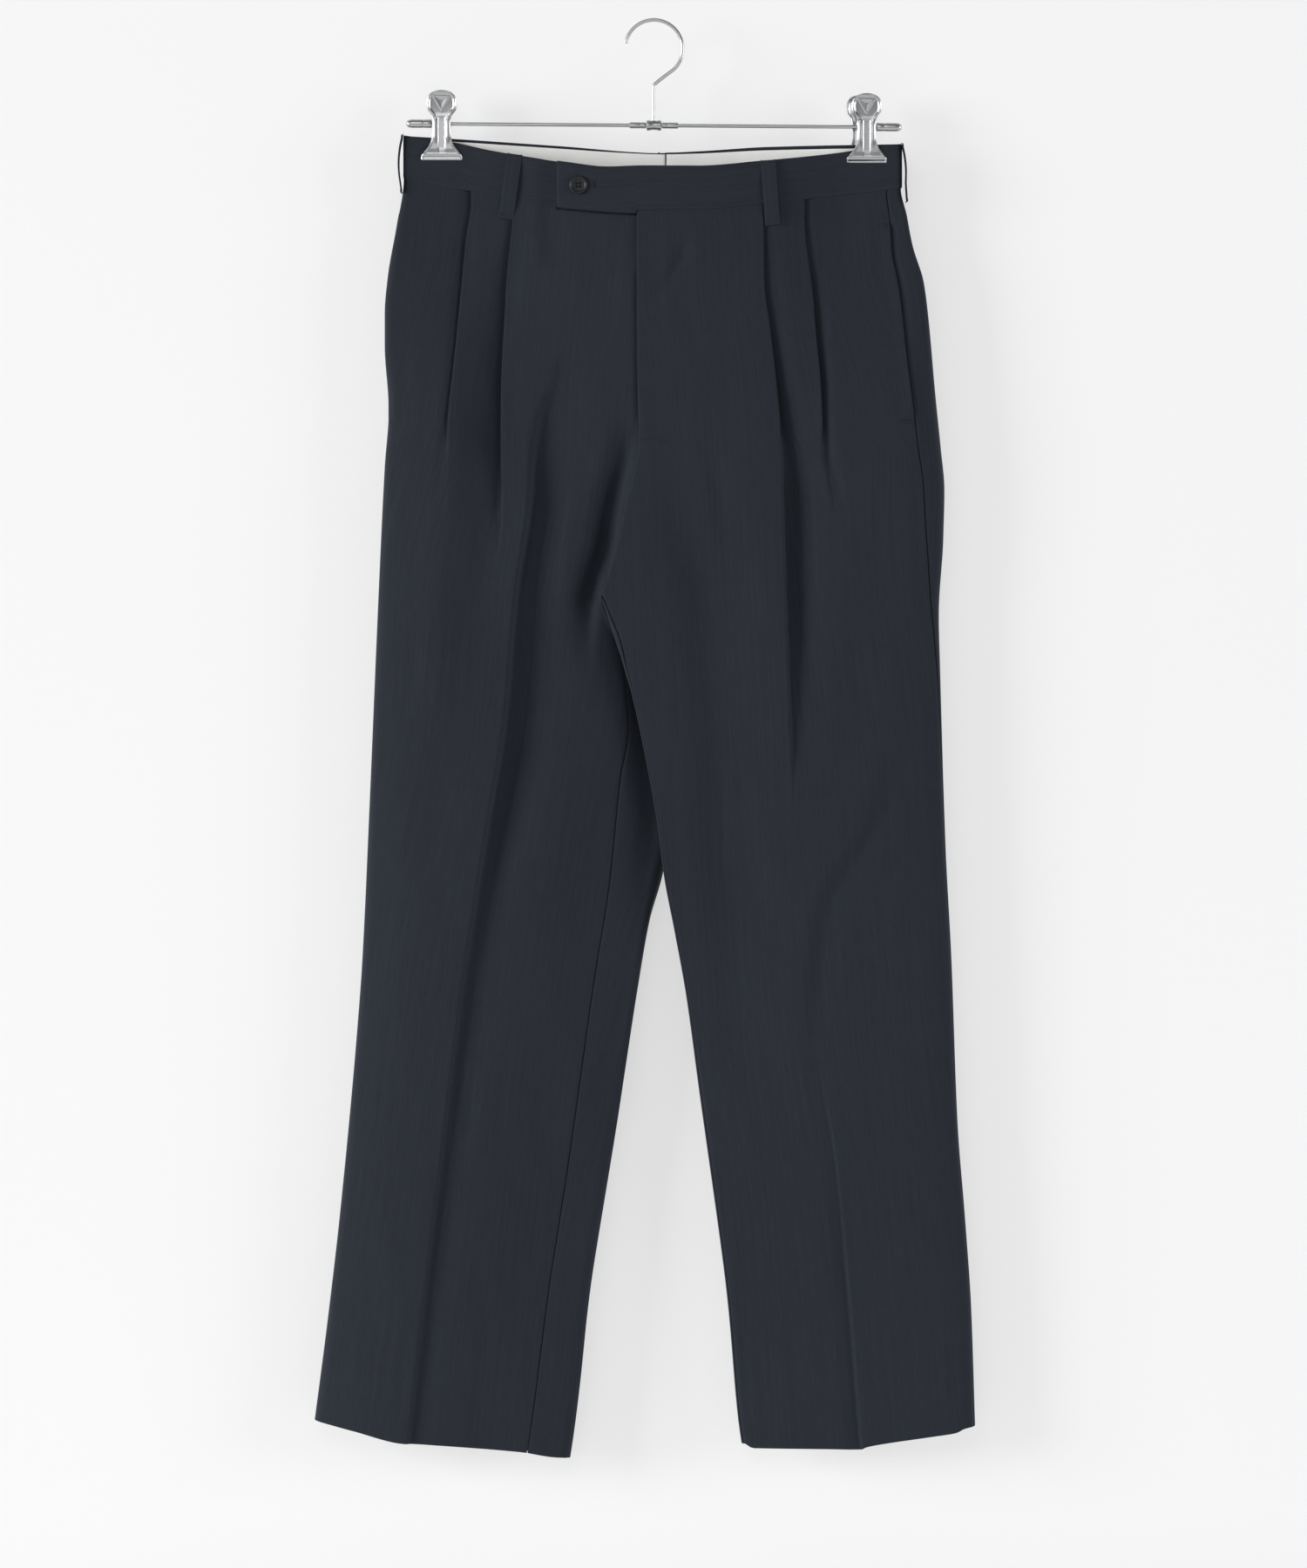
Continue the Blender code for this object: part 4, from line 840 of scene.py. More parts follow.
# %% Pleat columns
PLEAT_FADE = ((-126, 1.0), (-318, 1.0), (-344, 0.45), (-380, 0.2), (-420, 0.0), (-1125, 0.0))
LONG_PLEAT_FADE = ((-126, 1.0), (-340, 1.0), (-375, 0.7), (-410, 0.25), (-440, 0.0), (-1125, 0.0))
FLAP_FROM = 15          # the first step that belongs to the flap on top
FOOT = 0.9              # how far outside and inside the fold's edge the two layers read their depth
FLAP = 2.0


def pleat_columns(leg, line, room):
    """The columns of one pleat; room squeezes them where two pleats run close together."""
    edge = along(line, HEIGHTS)
    fade = along(LONG_PLEAT_FADE if line is RIGHT.pleat_inner else PLEAT_FADE, HEIGHTS)
    steps = pleat_section(along(UNDERLAP, HEIGHTS))
    opened = np.linspace(-PLEAT_LEAD, PLEAT_TOP, len(steps))
    columns = []
    for step, ((folded, sink), flat) in enumerate(zip(steps, opened)):
        offset = mix(flat * room, folded, fade)
        across = edge + leg.inward * offset
        layer = np.minimum(-FOOT, folded) if step < FLAP_FROM else np.maximum(FLAP, folded)
        shown = edge + leg.inward * layer
        depth = outer_face(leg, mix(across, shown, fade), HEIGHTS, False) + sink * fade
        columns.append(np.stack([across, depth, row_height(leg, across, HEIGHTS, False)], 1))
    return columns


print("the long pleat is shut to %.0f mm" % LONG_PLEAT_FADE[1][0])

# %% [markdown]
# ## From columns to a sheet
# `sheet_of` lays a bmesh grid through the columns and moves each vertex to its place. It also measures the
# cut: the width along each row, and the length along the columns. The UV map holds those lengths in metres.
# Solidify gives the worsted its real thickness towards the inside. The size that the piece was cut to is
# printed.

# %% Sheet maker
CLOTH_THICKNESS = 0.55


def arc(points, axis):
    """Length walked along one axis of a grid of points."""
    steps = np.linalg.norm(np.diff(points, axis=axis), axis=2)
    start = np.zeros_like(np.take(steps, [0], axis=axis))
    return np.cumsum(np.concatenate([start, steps], axis=axis), axis=axis)


def new_object(name, mesh, finish):
    """Put a mesh into the scene, with its finish."""
    mesh.materials.append(finish)
    made = bpy.data.objects.new(name, mesh)
    bpy.context.scene.collection.objects.link(made)
    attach(made, "root")
    return made


def grid_mesh(name, points, outward):
    """A grid with its vertices moved to an array of points; outward says which way its middle faces."""
    rows, count = points.shape[:2]
    bm = bmesh.new()
    bmesh.ops.create_grid(bm, x_segments=count - 1, y_segments=rows - 1, size=1.0)
    mesh = mesh_of(name, bm)
    mesh.vertices.foreach_set("co", points.reshape(-1))
    mesh.update()
    middle = mesh.polygons[(rows // 2) * (count - 1) + count // 2]
    if middle.normal.dot(Vector(outward)) < 0.0:
        mesh.flip_normals()
    mesh.shade_smooth()
    return mesh


def solidify(made, thickness):
    """Give a surface its thickness, towards its inside."""
    shell = made.modifiers.new("thickness", "SOLIDIFY")
    shell.thickness = thickness * MM
    shell.offset = -1.0


def sheet_of(name, columns, outward, finish=CLOTH, thickness=CLOTH_THICKNESS, grain="down",
             zero=0, rests_on=()):
    """A sheet of cloth through these columns."""
    points = np.stack(columns, 1) * MM
    mesh = grid_mesh(name, points, outward)
    across = arc(points, 1)
    across = across - across[:, [zero]]
    length = arc(points, 0)
    cut = np.stack([across, -length] if grain == "down" else [length, across], 2).reshape(-1, 2)
    corners = np.empty(len(mesh.loops), np.int32)
    mesh.loops.foreach_get("vertex_index", corners)
    mesh.uv_layers.new(name="cut")
    mesh.uv_layers["cut"].data.foreach_set("uv", cut[corners].astype(np.float32).reshape(-1))
    made = new_object(name, mesh, finish)
    solidify(made, thickness)
    width = round(float((across[:, -1] - across[:, 0]).max()), 4)
    long = round(float(length[-1].max()), 4)
    area = min(float(sum(face.area for face in mesh.polygons)), width * long)
    print("%s: %d x %d points, cut %.0f x %.0f mm, %.4f m2"
          % (name, points.shape[0], points.shape[1], width / MM, long / MM, area))
    return made


# %% [markdown]
# ## Hem and top edge
# The foot of a panel turns up inside as a hem, and its top edge runs on under the waistband, so neither
# ends in an open edge that could be looked into.

# %% Hem and top edge
HEM_LIP = ((0.35, 0.15), (0.6, 0.6), (0.35, 1.05), (0.0, 1.2))     # (drop, depth) round the fold
HEM_ROWS = (2, 4, 7, 9)         # rows of the panel, counted from its foot, that the allowance lies behind
HEM_DEPTH = 1.25
TOP_RISE, TOP_SINK = 1.6, 0.35


def with_hem(columns):
    """Fold the foot of a panel up inside: a round lip, then the allowance against the cloth's back."""
    grid = np.stack(columns, 1)
    ahead = np.roll(grid, -1, 1)
    behind = np.roll(grid, 1, 1)
    ahead[:, -1], behind[:, 0] = grid[:, -1], grid[:, 0]
    way = ahead - behind
    normal = np.stack([-way[..., 1], way[..., 0], np.zeros(way.shape[:2])], 2)
    normal /= np.maximum(np.linalg.norm(normal, axis=2), 1e-6)[..., None]
    inside = np.sign((normal[-1, :, 1] * -grid[-1, :, 1]).sum())
    normal *= inside
    extra = []
    for drop, sink in HEM_LIP:
        extra.append(grid[-1] + normal[-1] * sink - np.array([0.0, 0.0, drop]))
    for row in HEM_ROWS:
        extra.append(grid[-row] + normal[-row] * HEM_DEPTH)
    grid = np.concatenate([grid, np.stack(extra)], 0)
    return [grid[:, i] for i in range(grid.shape[1])]


def with_top(columns, back):
    """Let the top edge run on, up into the waistband."""
    shift = np.array([0.0, -TOP_SINK if back else TOP_SINK, TOP_RISE])
    return [np.concatenate([(column[0] + shift)[None], column], 0) for column in columns]


print("the hem's allowance ends %.0f mm above its fold" % (HEIGHTS[-HEM_ROWS[-1]] - HEM))


# %% [markdown]
# ## Front panels
# A front runs from the side seam over two forward pleats to the pressed crease and on to the fly or, below
# the crotch, the inseam. Columns stand close together where the cloth turns sharply, as at an edge, in a
# pleat and beside the crease, and far apart on the flat. The right front's edge lies under the fly and
# under the left leg's inner edge, where it needs fine columns to dive. The mouth of a pocket stands a
# little off its facing.

# %% Fronts
MOUTH_LIFT, MOUTH_REACH = 0.9, 9.0
SIDE_STEPS = (4.8, 6.8, 9.2, 11.6, 14.3)
BETWEEN = 7             # columns on the flat between two pleats
TO_CREASE = 12
TO_END = 30
END_CROWDING = 1.12
PLEAT_ROOM = 26.0       # two pleats that are closer than this are squeezed
CREASE_STEPS = (0.6, 1.3, 2.1, 3.0, 4.2, 6.0)      # fine columns where the crease falls away
FLY_TUCK = 2.5          # the right front's edge lies under the left one
TUCK_FADE = (-530.0, -485.0)
FLY_STEPS = (-6.5, -4.8, -4.2, -3.6, -3.0, -2.4, -1.8, -1.2, -0.4)      # where it dives under


def spread(start, end, count):
    """Places between two lines, without its ends."""
    return [mix(start, end, (i + 1) / (count + 1.0)) for i in range(count)]


def side_columns(leg):
    """From the side seam, or the mouth of the pocket in it, over the round turn."""
    seam = along(leg.seam_turn, HEIGHTS)
    pocket = along(POCKET_OPEN, HEIGHTS)
    columns = []
    for distance, sink in edge_steps(pocket)[::-1] + [(step, 0.0) for step in SIDE_STEPS]:
        lift = MOUTH_LIFT * pocket * (1.0 - smooth_step(distance, 0.0, MOUTH_REACH))
        columns.append(round_side(leg, seam - distance, sink - lift))
    return columns


def pleated_columns(leg, start):
    """Over both pleats; also the line on which the inner one's top layer is level."""
    outer_line = along(leg.pleat_outer, HEIGHTS)
    inner_line = along(leg.pleat_inner, HEIGHTS)
    room = np.clip((inner_line - outer_line) * leg.inward / PLEAT_ROOM, 0.3, 1.0)
    lead = leg.inward * PLEAT_LEAD * room
    past = leg.inward * PLEAT_TOP * room
    columns = [wall(leg, x) for x in spread(start, outer_line - leg.inward * PLEAT_LEAD, BETWEEN)]
    columns += pleat_columns(leg, leg.pleat_outer, room)
    columns += [wall(leg, x) for x in spread(outer_line + past, inner_line - lead, BETWEEN)]
    columns += pleat_columns(leg, leg.pleat_inner, room)
    return columns, inner_line + past


def crease_columns(leg, start):
    """To the pressed crease and over its edge, where it has a line apart from the pleat."""
    crease = along(leg.crease, HEIGHTS)
    columns = [wall(leg, x) for x in spread(start, crease, TO_CREASE)]
    columns += [wall(leg, crease + leg.inward * step) for step in (0.0,) + CREASE_STEPS]
    return columns, crease + leg.inward * CREASE_STEPS[-1]


def end_columns(leg, start):
    """From the crease to the fly and the inseam."""
    end = np.where(HEIGHTS > CROTCH, along(leg.fly, HEIGHTS), along(leg.inseam, HEIGHTS))
    if leg.side == "right":
        end = end + FLY_TUCK * smooth_step(HEIGHTS, *TUCK_FADE)
    edge = edge_steps(along(FLY_OPEN, HEIGHTS) if leg.side == "left" else 0.0 * HEIGHTS)
    inside = end - leg.inward * edge[0][0]
    fine = []
    if leg.side == "right":
        over = np.where(HEIGHTS > CROTCH, along(LEFT.fly, HEIGHTS), along(LEFT.inner, HEIGHTS))
        for left, step in zip(range(len(FLY_STEPS), 0, -1), FLY_STEPS):
            fine.append(np.minimum(over + step, inside - 0.3 * left))
        fine += spread(fine[-1], inside, 2)
    last = fine[0] if fine else inside
    places = [mix(start, last, ((i + 1) / (TO_END + 1.0)) ** END_CROWDING) for i in range(TO_END)]
    columns = [wall(leg, x) for x in places + fine]
    return columns + [wall(leg, end - leg.inward * distance, sink=sink) for distance, sink in edge]


def make_front(leg):
    """Side seam, pleats, crease, fly or inseam; zero is the column from which the cut is measured."""
    columns = side_columns(leg)
    pleated, line = pleated_columns(leg, columns[-1][:, 0])
    columns += pleated
    if leg.crease:
        creased, line = crease_columns(leg, line)
        columns += creased
    zero = len(columns) - 1
    columns += end_columns(leg, line)
    made = sheet_of("wool_front_" + leg.side, with_hem(with_top(columns, False)), (0, -1, 0), zero=zero,
                    rests_on=["waistband_cloth_" + leg.side])
    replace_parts(made, "front_" + leg.side)


for leg in (RIGHT, LEFT):
    make_front(leg)

# %% [markdown]
# ## Back panels
# A back runs from the side seam round the turn of the leg to centre back. Below the crotch it goes on round
# the turn between the legs, to meet the front at the inseam. So each of its last columns has two states,
# one for the open seat and one for the closed leg, and changes between them at the crotch.

# %% Backs
BACK_TURN_END = 9.0
BACK_TURN_STEPS = 14
MOUTH_BACKING = 5.0         # the cloth behind a pocket's mouth is drawn in over this width
TO_CENTRE = 40
CENTRE_REACH = 22.0
CENTRE_STEPS = 11


def make_back(leg):
    """Side seam, round turn, wall, then centre back above the crotch and the inner turn below it."""
    seam = along(leg.seam_turn, HEIGHTS)
    pocket = along(POCKET_OPEN, HEIGHTS)
    columns = []
    for distance, sink in reversed(SEAM_EDGE):
        drawn_in = pocket * math.exp(-(distance / MOUTH_BACKING) ** 2)
        columns.append(round_side(leg, seam + distance, sink + drawn_in))
    start = seam + SEAM_EDGE[0][0]
    for i in range(BACK_TURN_STEPS):
        columns.append(round_side(leg, mix(start, BACK_TURN_END, (i + 1.0) / BACK_TURN_STEPS)))
    closed = HEIGHTS < CROTCH
    centre = np.where(closed, along(leg.inner, HEIGHTS), along(leg.centre_back, HEIGHTS))
    last = centre - leg.inward * CENTRE_REACH
    columns += [wall(leg, x, back=True) for x in spread(columns[-1][:, 0], last, TO_CENTRE)]
    radius = along(INNER_TURN, HEIGHTS)
    quarter = radius * math.pi / 2.0
    reach = np.abs(centre - along(leg.inseam, HEIGHTS))
    within = radius * np.arccos(np.clip(1.0 - reach / radius, 0.0, 1.0))
    seam_run = -np.where(reach > radius, reach - radius + quarter, within)
    first_run = CENTRE_REACH - radius + quarter

    def tail(step, run, sink):
        """Above the crotch a step in from centre back, below it a walk round the inner turn."""
        above = wall(leg, centre - leg.inward * step, back=True, sink=sink)
        below = round_inner(leg, run, sink)
        return np.where(closed[:, None], below, above)

    near = SEAM_EDGE[0][0]
    for i in range(CENTRE_STEPS):
        share = i / float(CENTRE_STEPS)
        columns.append(tail(mix(CENTRE_REACH, near, share), mix(first_run, seam_run + near, share), 0.0))
    for distance, sink in SEAM_EDGE:
        columns.append(tail(distance, seam_run + distance, sink))
    made = sheet_of("wool_back_" + leg.side, with_hem(with_top(columns, True)), (0, 1, 0),
                    zero=TO_CENTRE // 2, rests_on=["waistband_cloth_" + leg.side])
    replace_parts(made, "back_" + leg.side)


for leg in (RIGHT, LEFT):
    make_back(leg)

# %% [markdown]
# ## Waistband
# The waistband is a strip of the same cloth folded over a canvas: down the outside, round the top edge and
# down the inside. Its section is a closed loop of (share of the height, depth), walked from the inner lower
# edge over the top to the outer lower edge. At its ends the two layers close into a soft rounded end: at
# the free end of the tab, and at centre back, where the halves meet in a seam.

# %% Waistband
BAND_SECTION = ((0.03, 2.0), (0.25, 2.0), (0.5, 2.0), (0.75, 2.0), (0.93, 2.0), (0.978, 1.86), (0.996, 1.5),
                (1.0, 1.0), (0.996, 0.5), (0.978, 0.14), (0.93, 0.0), (0.84, 0.0), (0.72, 0.0), (0.6, 0.0),
                (0.48, 0.0), (0.36, 0.0), (0.24, 0.0), (0.13, 0.0), (0.05, 0.0), (0.014, 0.12), (0.0, 0.5),
                (0.006, 0.95), (0.04, 1.25))
END_CLOSING = ((0.0, 0.0), (0.08, 0.4), (0.25, 0.7), (0.5, 0.88), (1.0, 1.0))      # (run from an end, share)
TAB_DROP = 2.6          # the tab's lower edge hangs below the waist seam
FLY_STEP = -14.3        # where that starts
BACK_SEAM_X, BACK_SEAM_GAP = 9.2, 0.05
RIGHT_BAND_END = -4.0
BAND_WAVE, BAND_SEED = 0.22, 19     # the band's own unevenness, less where a clip holds it
BAND_SPACING = 4.0      # of its columns
BAND_TURN, BAND_TURN_COLUMNS = 7.5, 17
BAND_SLOPE = 0.1        # half of the length over which its slope is measured


def band_face(leg, run, share):
    """Points on the waistband's outer face, at some shares of its height, at one walk from the side's tip."""
    radius = PINCH + BAND_PROUD
    outer = along(leg.outer, WAIST) - leg.inward * BAND_PROUD
    across = outer + leg.inward * turn_reach(run, radius)
    back = run > 0.0
    depth = turn_depth(np.abs(across - outer), radius) + waist_bow(across, back)
    depth = depth * (1 if back else -1)
    top = along(BACK_TOP if back else FRONT_TOP, across)
    low = along(BACK_TOP, across) - BAND_HEIGHT if back else along(FRONT_WAIST, across)
    level = mix(low, top, share)
    if leg.side == "right" and not back:
        depth = depth + TAB_DEPTH * smooth_step(across, *TAB_DIVE)
    if leg.side == "left" and not back:
        level = level - TAB_DROP * (1.0 - share) * (1.0 - smooth_step(across, FLY_STEP - 0.4, FLY_STEP + 0.4))
    wave = BAND_WAVE * ripple(np.asarray(across), np.asarray(level), BAND_SEED)
    wave = wave * (1.0 if abs(float(across)) < 150.0 else 0.3)
    return np.stack([across + 0.0 * share, depth + wave + 0.0 * share, level], 1)


def band_point(leg, run, share):
    """One point of the outer face, as across, depth and level."""
    return band_face(leg, run, np.array([share]))[0]


def band_column(leg, run, section, closing=1.0):
    """A section of (share of the height, depth) at one walk; closing 0 shuts it to its middle."""
    share, inset = np.array(section).T
    here, ahead, behind = [band_face(leg, run + step, share) for step in (0.0, BAND_SLOPE, -BAND_SLOPE)]
    return sunk(here, ahead, behind, -leg.inward, 1.0 + (inset - 1.0) * closing)


def band_run(leg, across, back):
    """The walk from the side's tip that reaches a place across."""
    radius = PINCH + BAND_PROUD
    outer = along(leg.outer, WAIST) - leg.inward * BAND_PROUD
    run = abs(across - outer) - radius + radius * math.pi / 2.0
    return float(run if back else -run)


def make_waistband(leg, front_end):
    start = band_run(leg, front_end, False)
    end = band_run(leg, BACK_SEAM_X - leg.inward * BACK_SEAM_GAP, True)
    runs = list(np.arange(start + BAND_SPACING, -BAND_TURN - 0.5, BAND_SPACING))
    runs += list(np.linspace(-BAND_TURN, BAND_TURN, BAND_TURN_COLUMNS))
    runs += list(np.arange(BAND_TURN + 1.5, end - 3.0, BAND_SPACING))
    if leg.side == "left":
        runs += [band_run(leg, FLY_STEP + step, False) for step in (-0.5, -0.2, 0.0, 0.2, 0.5)]
    closing = {start + step: share for step, share in END_CLOSING}
    closing.update({end - step: share for step, share in END_CLOSING})
    runs = sorted(runs + list(closing))
    columns = [band_column(leg, run, BAND_SECTION, closing.get(run, 1.0)) for run in runs]
    made = sheet_of("waistband_cloth_" + leg.side, columns, (0, 0, 0), grain="along",
                    rests_on=["clip_front_" + leg.side, "clip_back_" + leg.side])
    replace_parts(made, "waistband_" + leg.side)


for leg, front_end in ((RIGHT, RIGHT_BAND_END), (LEFT, TAB_END)):
    make_waistband(leg, front_end)

# %% [markdown]
# ## Curtain
# Inside the back of the waistband hangs the curtain, a band of off-white lining that keeps a shirt in
# place. It ends just under the folded top edge, so a thin line of the wool shows above it, which narrows
# towards centre back. It is made as the waistband is, by columns at a walk along it, but lies inside its
# inner layer.

# %% Lining
LINING_YARN = 0.00030


def lining(name):
    recipe = Recipe(name)
    yarn = 2.0 * math.pi / LINING_YARN
    across, length = recipe.cut()
    weave = ((across * yarn).sine() * (length * yarn).sine()) * 0.5 + 0.5
    fleck = recipe.noise(recipe.place("UV", (900.0, 900.0, 1.0)), 1.0, 2.0)
    cloud = recipe.noise(recipe.place("UV", (25.0, 25.0, 1.0)), 1.0, 2.0)
    tone = weave * 0.35 + fleck * 0.35 + cloud * 0.3
    base = recipe.blend(tone, colour(0.82, 0.815, 0.78), colour(0.94, 0.94, 0.915))
    return recipe.finish({
        "Base Color": base,
        "Roughness": 0.62 + cloud * 0.25,
        "Specular IOR Level": 0.35,
        "Sheen Weight": 0.15,
        "Sheen Roughness": 0.4,
        "Normal": recipe.bump(weave * 0.7 + cloud * 3.0, 0.00015, 0.4),
    })


LINING = lining("curtain_lining")
CURTAIN_START = 185.0       # its ends lie this far from the middle
CURTAIN_COLUMNS = 64
CURTAIN_END = (2.0, 1.2, 0.6, 0.25, 0.0)        # fine columns beside the seam at centre back
CURTAIN_GROOVE = (0.7, 0.9)         # depth and half width of that seam
CURTAIN_THICKNESS = 0.4
CURTAIN_TOP = ((-185, 0.925), (-70, 0.935), (-15, 0.965), (10, 0.968), (45, 0.95), (100, 0.93), (185, 0.925))
CURTAIN_LEVELS = np.array([-0.46, -0.44, -0.35, -0.2, -0.05, 0.1, 0.25, 0.4, 0.55, 0.7, 0.82, 0.92, 0.97,
                           1.0])
BAND_WALL = 2.0
LAYER_GAP = 0.35


def make_curtain(leg):
    start = band_run(leg, -leg.inward * CURTAIN_START, True)
    end = band_run(leg, BACK_SEAM_X - leg.inward * BACK_SEAM_GAP, True)
    runs = list(np.linspace(start, end - 3.0, CURTAIN_COLUMNS)) + [end - step for step in CURTAIN_END]
    groove_depth, groove_width = CURTAIN_GROOVE
    columns = []
    for run in runs:
        across = band_point(leg, run, 0.5)[0]
        top = float(along(CURTAIN_TOP, across))
        share = np.where(CURTAIN_LEVELS > 0.9, top - (1.0 - CURTAIN_LEVELS) * 0.5, CURTAIN_LEVELS)
        groove = groove_depth * math.exp(-((end - run) / groove_width) ** 2)
        wave = 0.5 * np.sin(across * 0.19 + 2.0 * share) * (1.0 - np.clip(share, 0.0, 1.0))
        hang = (wave - 0.4 * (1.0 - share)) * 0.6
        inset = BAND_WALL + LAYER_GAP - groove + CURTAIN_THICKNESS - hang
        columns.append(band_column(leg, run, list(zip(share, inset))))
    made = sheet_of("lining_curtain_" + leg.side, columns, (0, -1, 0), LINING, CURTAIN_THICKNESS,
                    grain="along", rests_on=["waistband_cloth_" + leg.side])
    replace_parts(made, "curtain_" + leg.side)


print("rows of the curtain:", len(CURTAIN_LEVELS))

# %% [markdown]
# ## Fly shield and pocket facings
# Behind the fly is a shield of the same wool, and behind each pocket mouth a facing, so that no opening
# shows the inside of the garment. Both follow the panel that they lie behind, at a small distance. The
# curtain, the facing and then the shield are made here, leg by leg.

# %% Shield and facings
SHIELD_SINK = 3.7           # behind the face of the left front
FACING_SINK = 1.6           # behind the mouth of the pocket
SHIELD_HEIGHTS = np.linspace(-138.0, -325.0, 40)
SHIELD_PLACES = (-3.0, -2.6, -1.5, 2.0, 8.0, 14.0, 20.0, 26.0, 31.0, 31.8, 32.0)
FACING_HEIGHTS = np.linspace(-142.0, -318.0, 40)
FACING_STEPS = (0.0, 3.0, 6.0, 9.0, 12.0, 16.0, 20.0, 24.0)


def make_shield():
    edge = along(LEFT.fly, SHIELD_HEIGHTS)
    columns = [wall(LEFT, edge + place, sink=SHIELD_SINK, heights=SHIELD_HEIGHTS)
               for place in SHIELD_PLACES]
    made = sheet_of("wool_fly_shield", columns, (0, -1, 0), rests_on=["waistband_cloth_left"])
    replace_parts(made, "fly_shield")


def make_facing(leg):
    seam = np.minimum(along(leg.seam_turn, FACING_HEIGHTS), -8.0)
    columns = []
    for step in FACING_STEPS:
        column = round_side(leg, seam - step + 1.0, heights=FACING_HEIGHTS)
        columns.append(column + np.array([0.0, FACING_SINK, 0.0]))
    made = sheet_of("wool_pocket_facing_" + leg.side, columns, (0, -1, 0),
                    rests_on=["wool_front_" + leg.side])
    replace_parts(made, "pocket_facing_" + leg.side)


for leg in (RIGHT, LEFT):
    make_curtain(leg)
    make_facing(leg)
make_shield()

# %% [markdown]
# ## Belt loops
# A belt loop is a strip with its long edges turned in, so its section is a flat C with round shoulders. It is
# sewn down at both ends with a bar tack and stands off the waistband between them.

# %% Belt loops
LOOP_SECTION = ((-4.6, 1.15), (-5.7, 1.15), (-5.94, 0.95), (-6.0, 0.55), (-5.96, 0.2), (-5.84, 0.05),
                (-5.5, 0.0), (-4.0, -0.05), (-2.0, -0.10), (0.0, -0.12), (2.0, -0.10), (4.0, -0.05),
                (5.5, 0.0), (5.84, 0.05), (5.96, 0.2), (6.0, 0.55), (5.94, 0.95), (5.7, 1.15), (4.6, 1.15))
LOOP_SHARES = (-0.012, -0.008, 0.0, 0.012, 0.03, 0.06, 0.10, 0.16, 0.24, 0.33, 0.42, 0.5, 0.58, 0.67, 0.76,
               0.84, 0.90, 0.94, 0.97, 0.988, 1.0, 1.008, 1.012)
LOOP_END_SINK = {-0.012: 1.0, -0.008: 0.35, 1.008: 0.35, 1.012: 1.0}
LOOP_BELOW, SIDE_LOOP_BELOW = 18.0, 11.0       # a loop's lower end lies this far below the waistband
LOOP_TOP_GAP = 0.3
LOOP_THICKNESS = 0.45
LOOP_STAND, LOOP_BOW, SIDE_LOOP_BOW = 1.5, 1.9, 0.9     # off the waistband at its ends; more in its middle
LOOP_FREE = (0.07, 0.86)        # the free part starts at this share and is this long
BELT_LOOPS = (
    # name, half of the garment, across at its top and at its foot, at the back
    ("loop_front_right", "right", -111.5, -118.5, False),
    ("loop_front_left", "left", 91.5, 95.0, False),
    ("loop_back", "left", BACK_SEAM_X, BACK_SEAM_X, True),
)


def bow(share):
    """How far a loop stands off: tight at its tacked ends, free between them."""
    inner = np.clip((share - LOOP_FREE[0]) / LOOP_FREE[1], 0.0, 1.0)
    return LOOP_STAND + LOOP_BOW * np.sin(math.pi * inner) ** 0.8


def loop_line(side, top_across, low_across, back, share):
    """The middle of a loop: its place across, the waistband's depth there, its level and its whole height."""
    leg = RIGHT if side == "right" else LEFT
    across = mix(low_across, top_across, share)
    run = band_run(leg, across, back)
    low, middle, high = [band_point(leg, run, part) for part in (0.0, 0.5, 1.0)]
    level = mix(low[2] - LOOP_BELOW, high[2] - LOOP_TOP_GAP, share)
    return across, middle[1], level, high[2] - low[2] + LOOP_BELOW


def loop_sheet(name, side, outward, place):
    """A loop's section carried along its length; place gives a point for (offset, sink, share)."""
    columns = [np.array([place(offset, sink, share) for share in LOOP_SHARES])
               for offset, sink in LOOP_SECTION]
    return sheet_of("wool_" + name, columns, outward, thickness=LOOP_THICKNESS,
                    rests_on=["waistband_cloth_" + side])


def make_loop(name, side, top_across, low_across, back):
    sign = 1 if back else -1

    def place(offset, sink, share):
        across, face, level, height = loop_line(side, top_across, low_across, back, share)
        out = bow(share) - sink - LOOP_END_SINK.get(share, 0.0)
        slant = offset * (top_across - low_across) / height
        return across + offset, face + out * sign, level - slant

    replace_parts(loop_sheet(name, side, (0, sign, 0), place), name)


def make_side_loop(leg):
    outer = float(along(leg.outer, WAIST)) - leg.inward * BAND_PROUD
    high = float(along(BACK_TOP, outer))

    def place(offset, sink, share):
        level = mix(high - BAND_HEIGHT - SIDE_LOOP_BELOW, high, share)
        below = float(along(leg.outer, level)) - leg.inward * BAND_PROUD
        stand = bow(share) + SIDE_LOOP_BOW * math.sin(math.pi * min(1.0, max(0.0, share))) ** 0.7 - sink
        stand = stand - LOOP_END_SINK.get(share, 0.0)
        across = (min if leg.inward > 0 else max)(below, outer) - leg.inward * stand
        return across, offset, level

    made = loop_sheet("loop_side_" + leg.side, leg.side, (-leg.inward, 0, 0), place)
    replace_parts(made, "loop_side_" + leg.side)


for row in BELT_LOOPS:
    make_loop(*row)
for leg in (RIGHT, LEFT):
    make_side_loop(leg)

# %% [markdown]
# ## Sewing thread
# Bar tacks lock the places that take a pull: both ends of every belt loop, both ends of each pocket mouth,
# and the foot of the fly. A bar tack is a dense row of short stitches across a line, so it stands up as a
# ribbed bar. A bar is a grid along its line, lifted in the middle, with one low wave for each stitch.

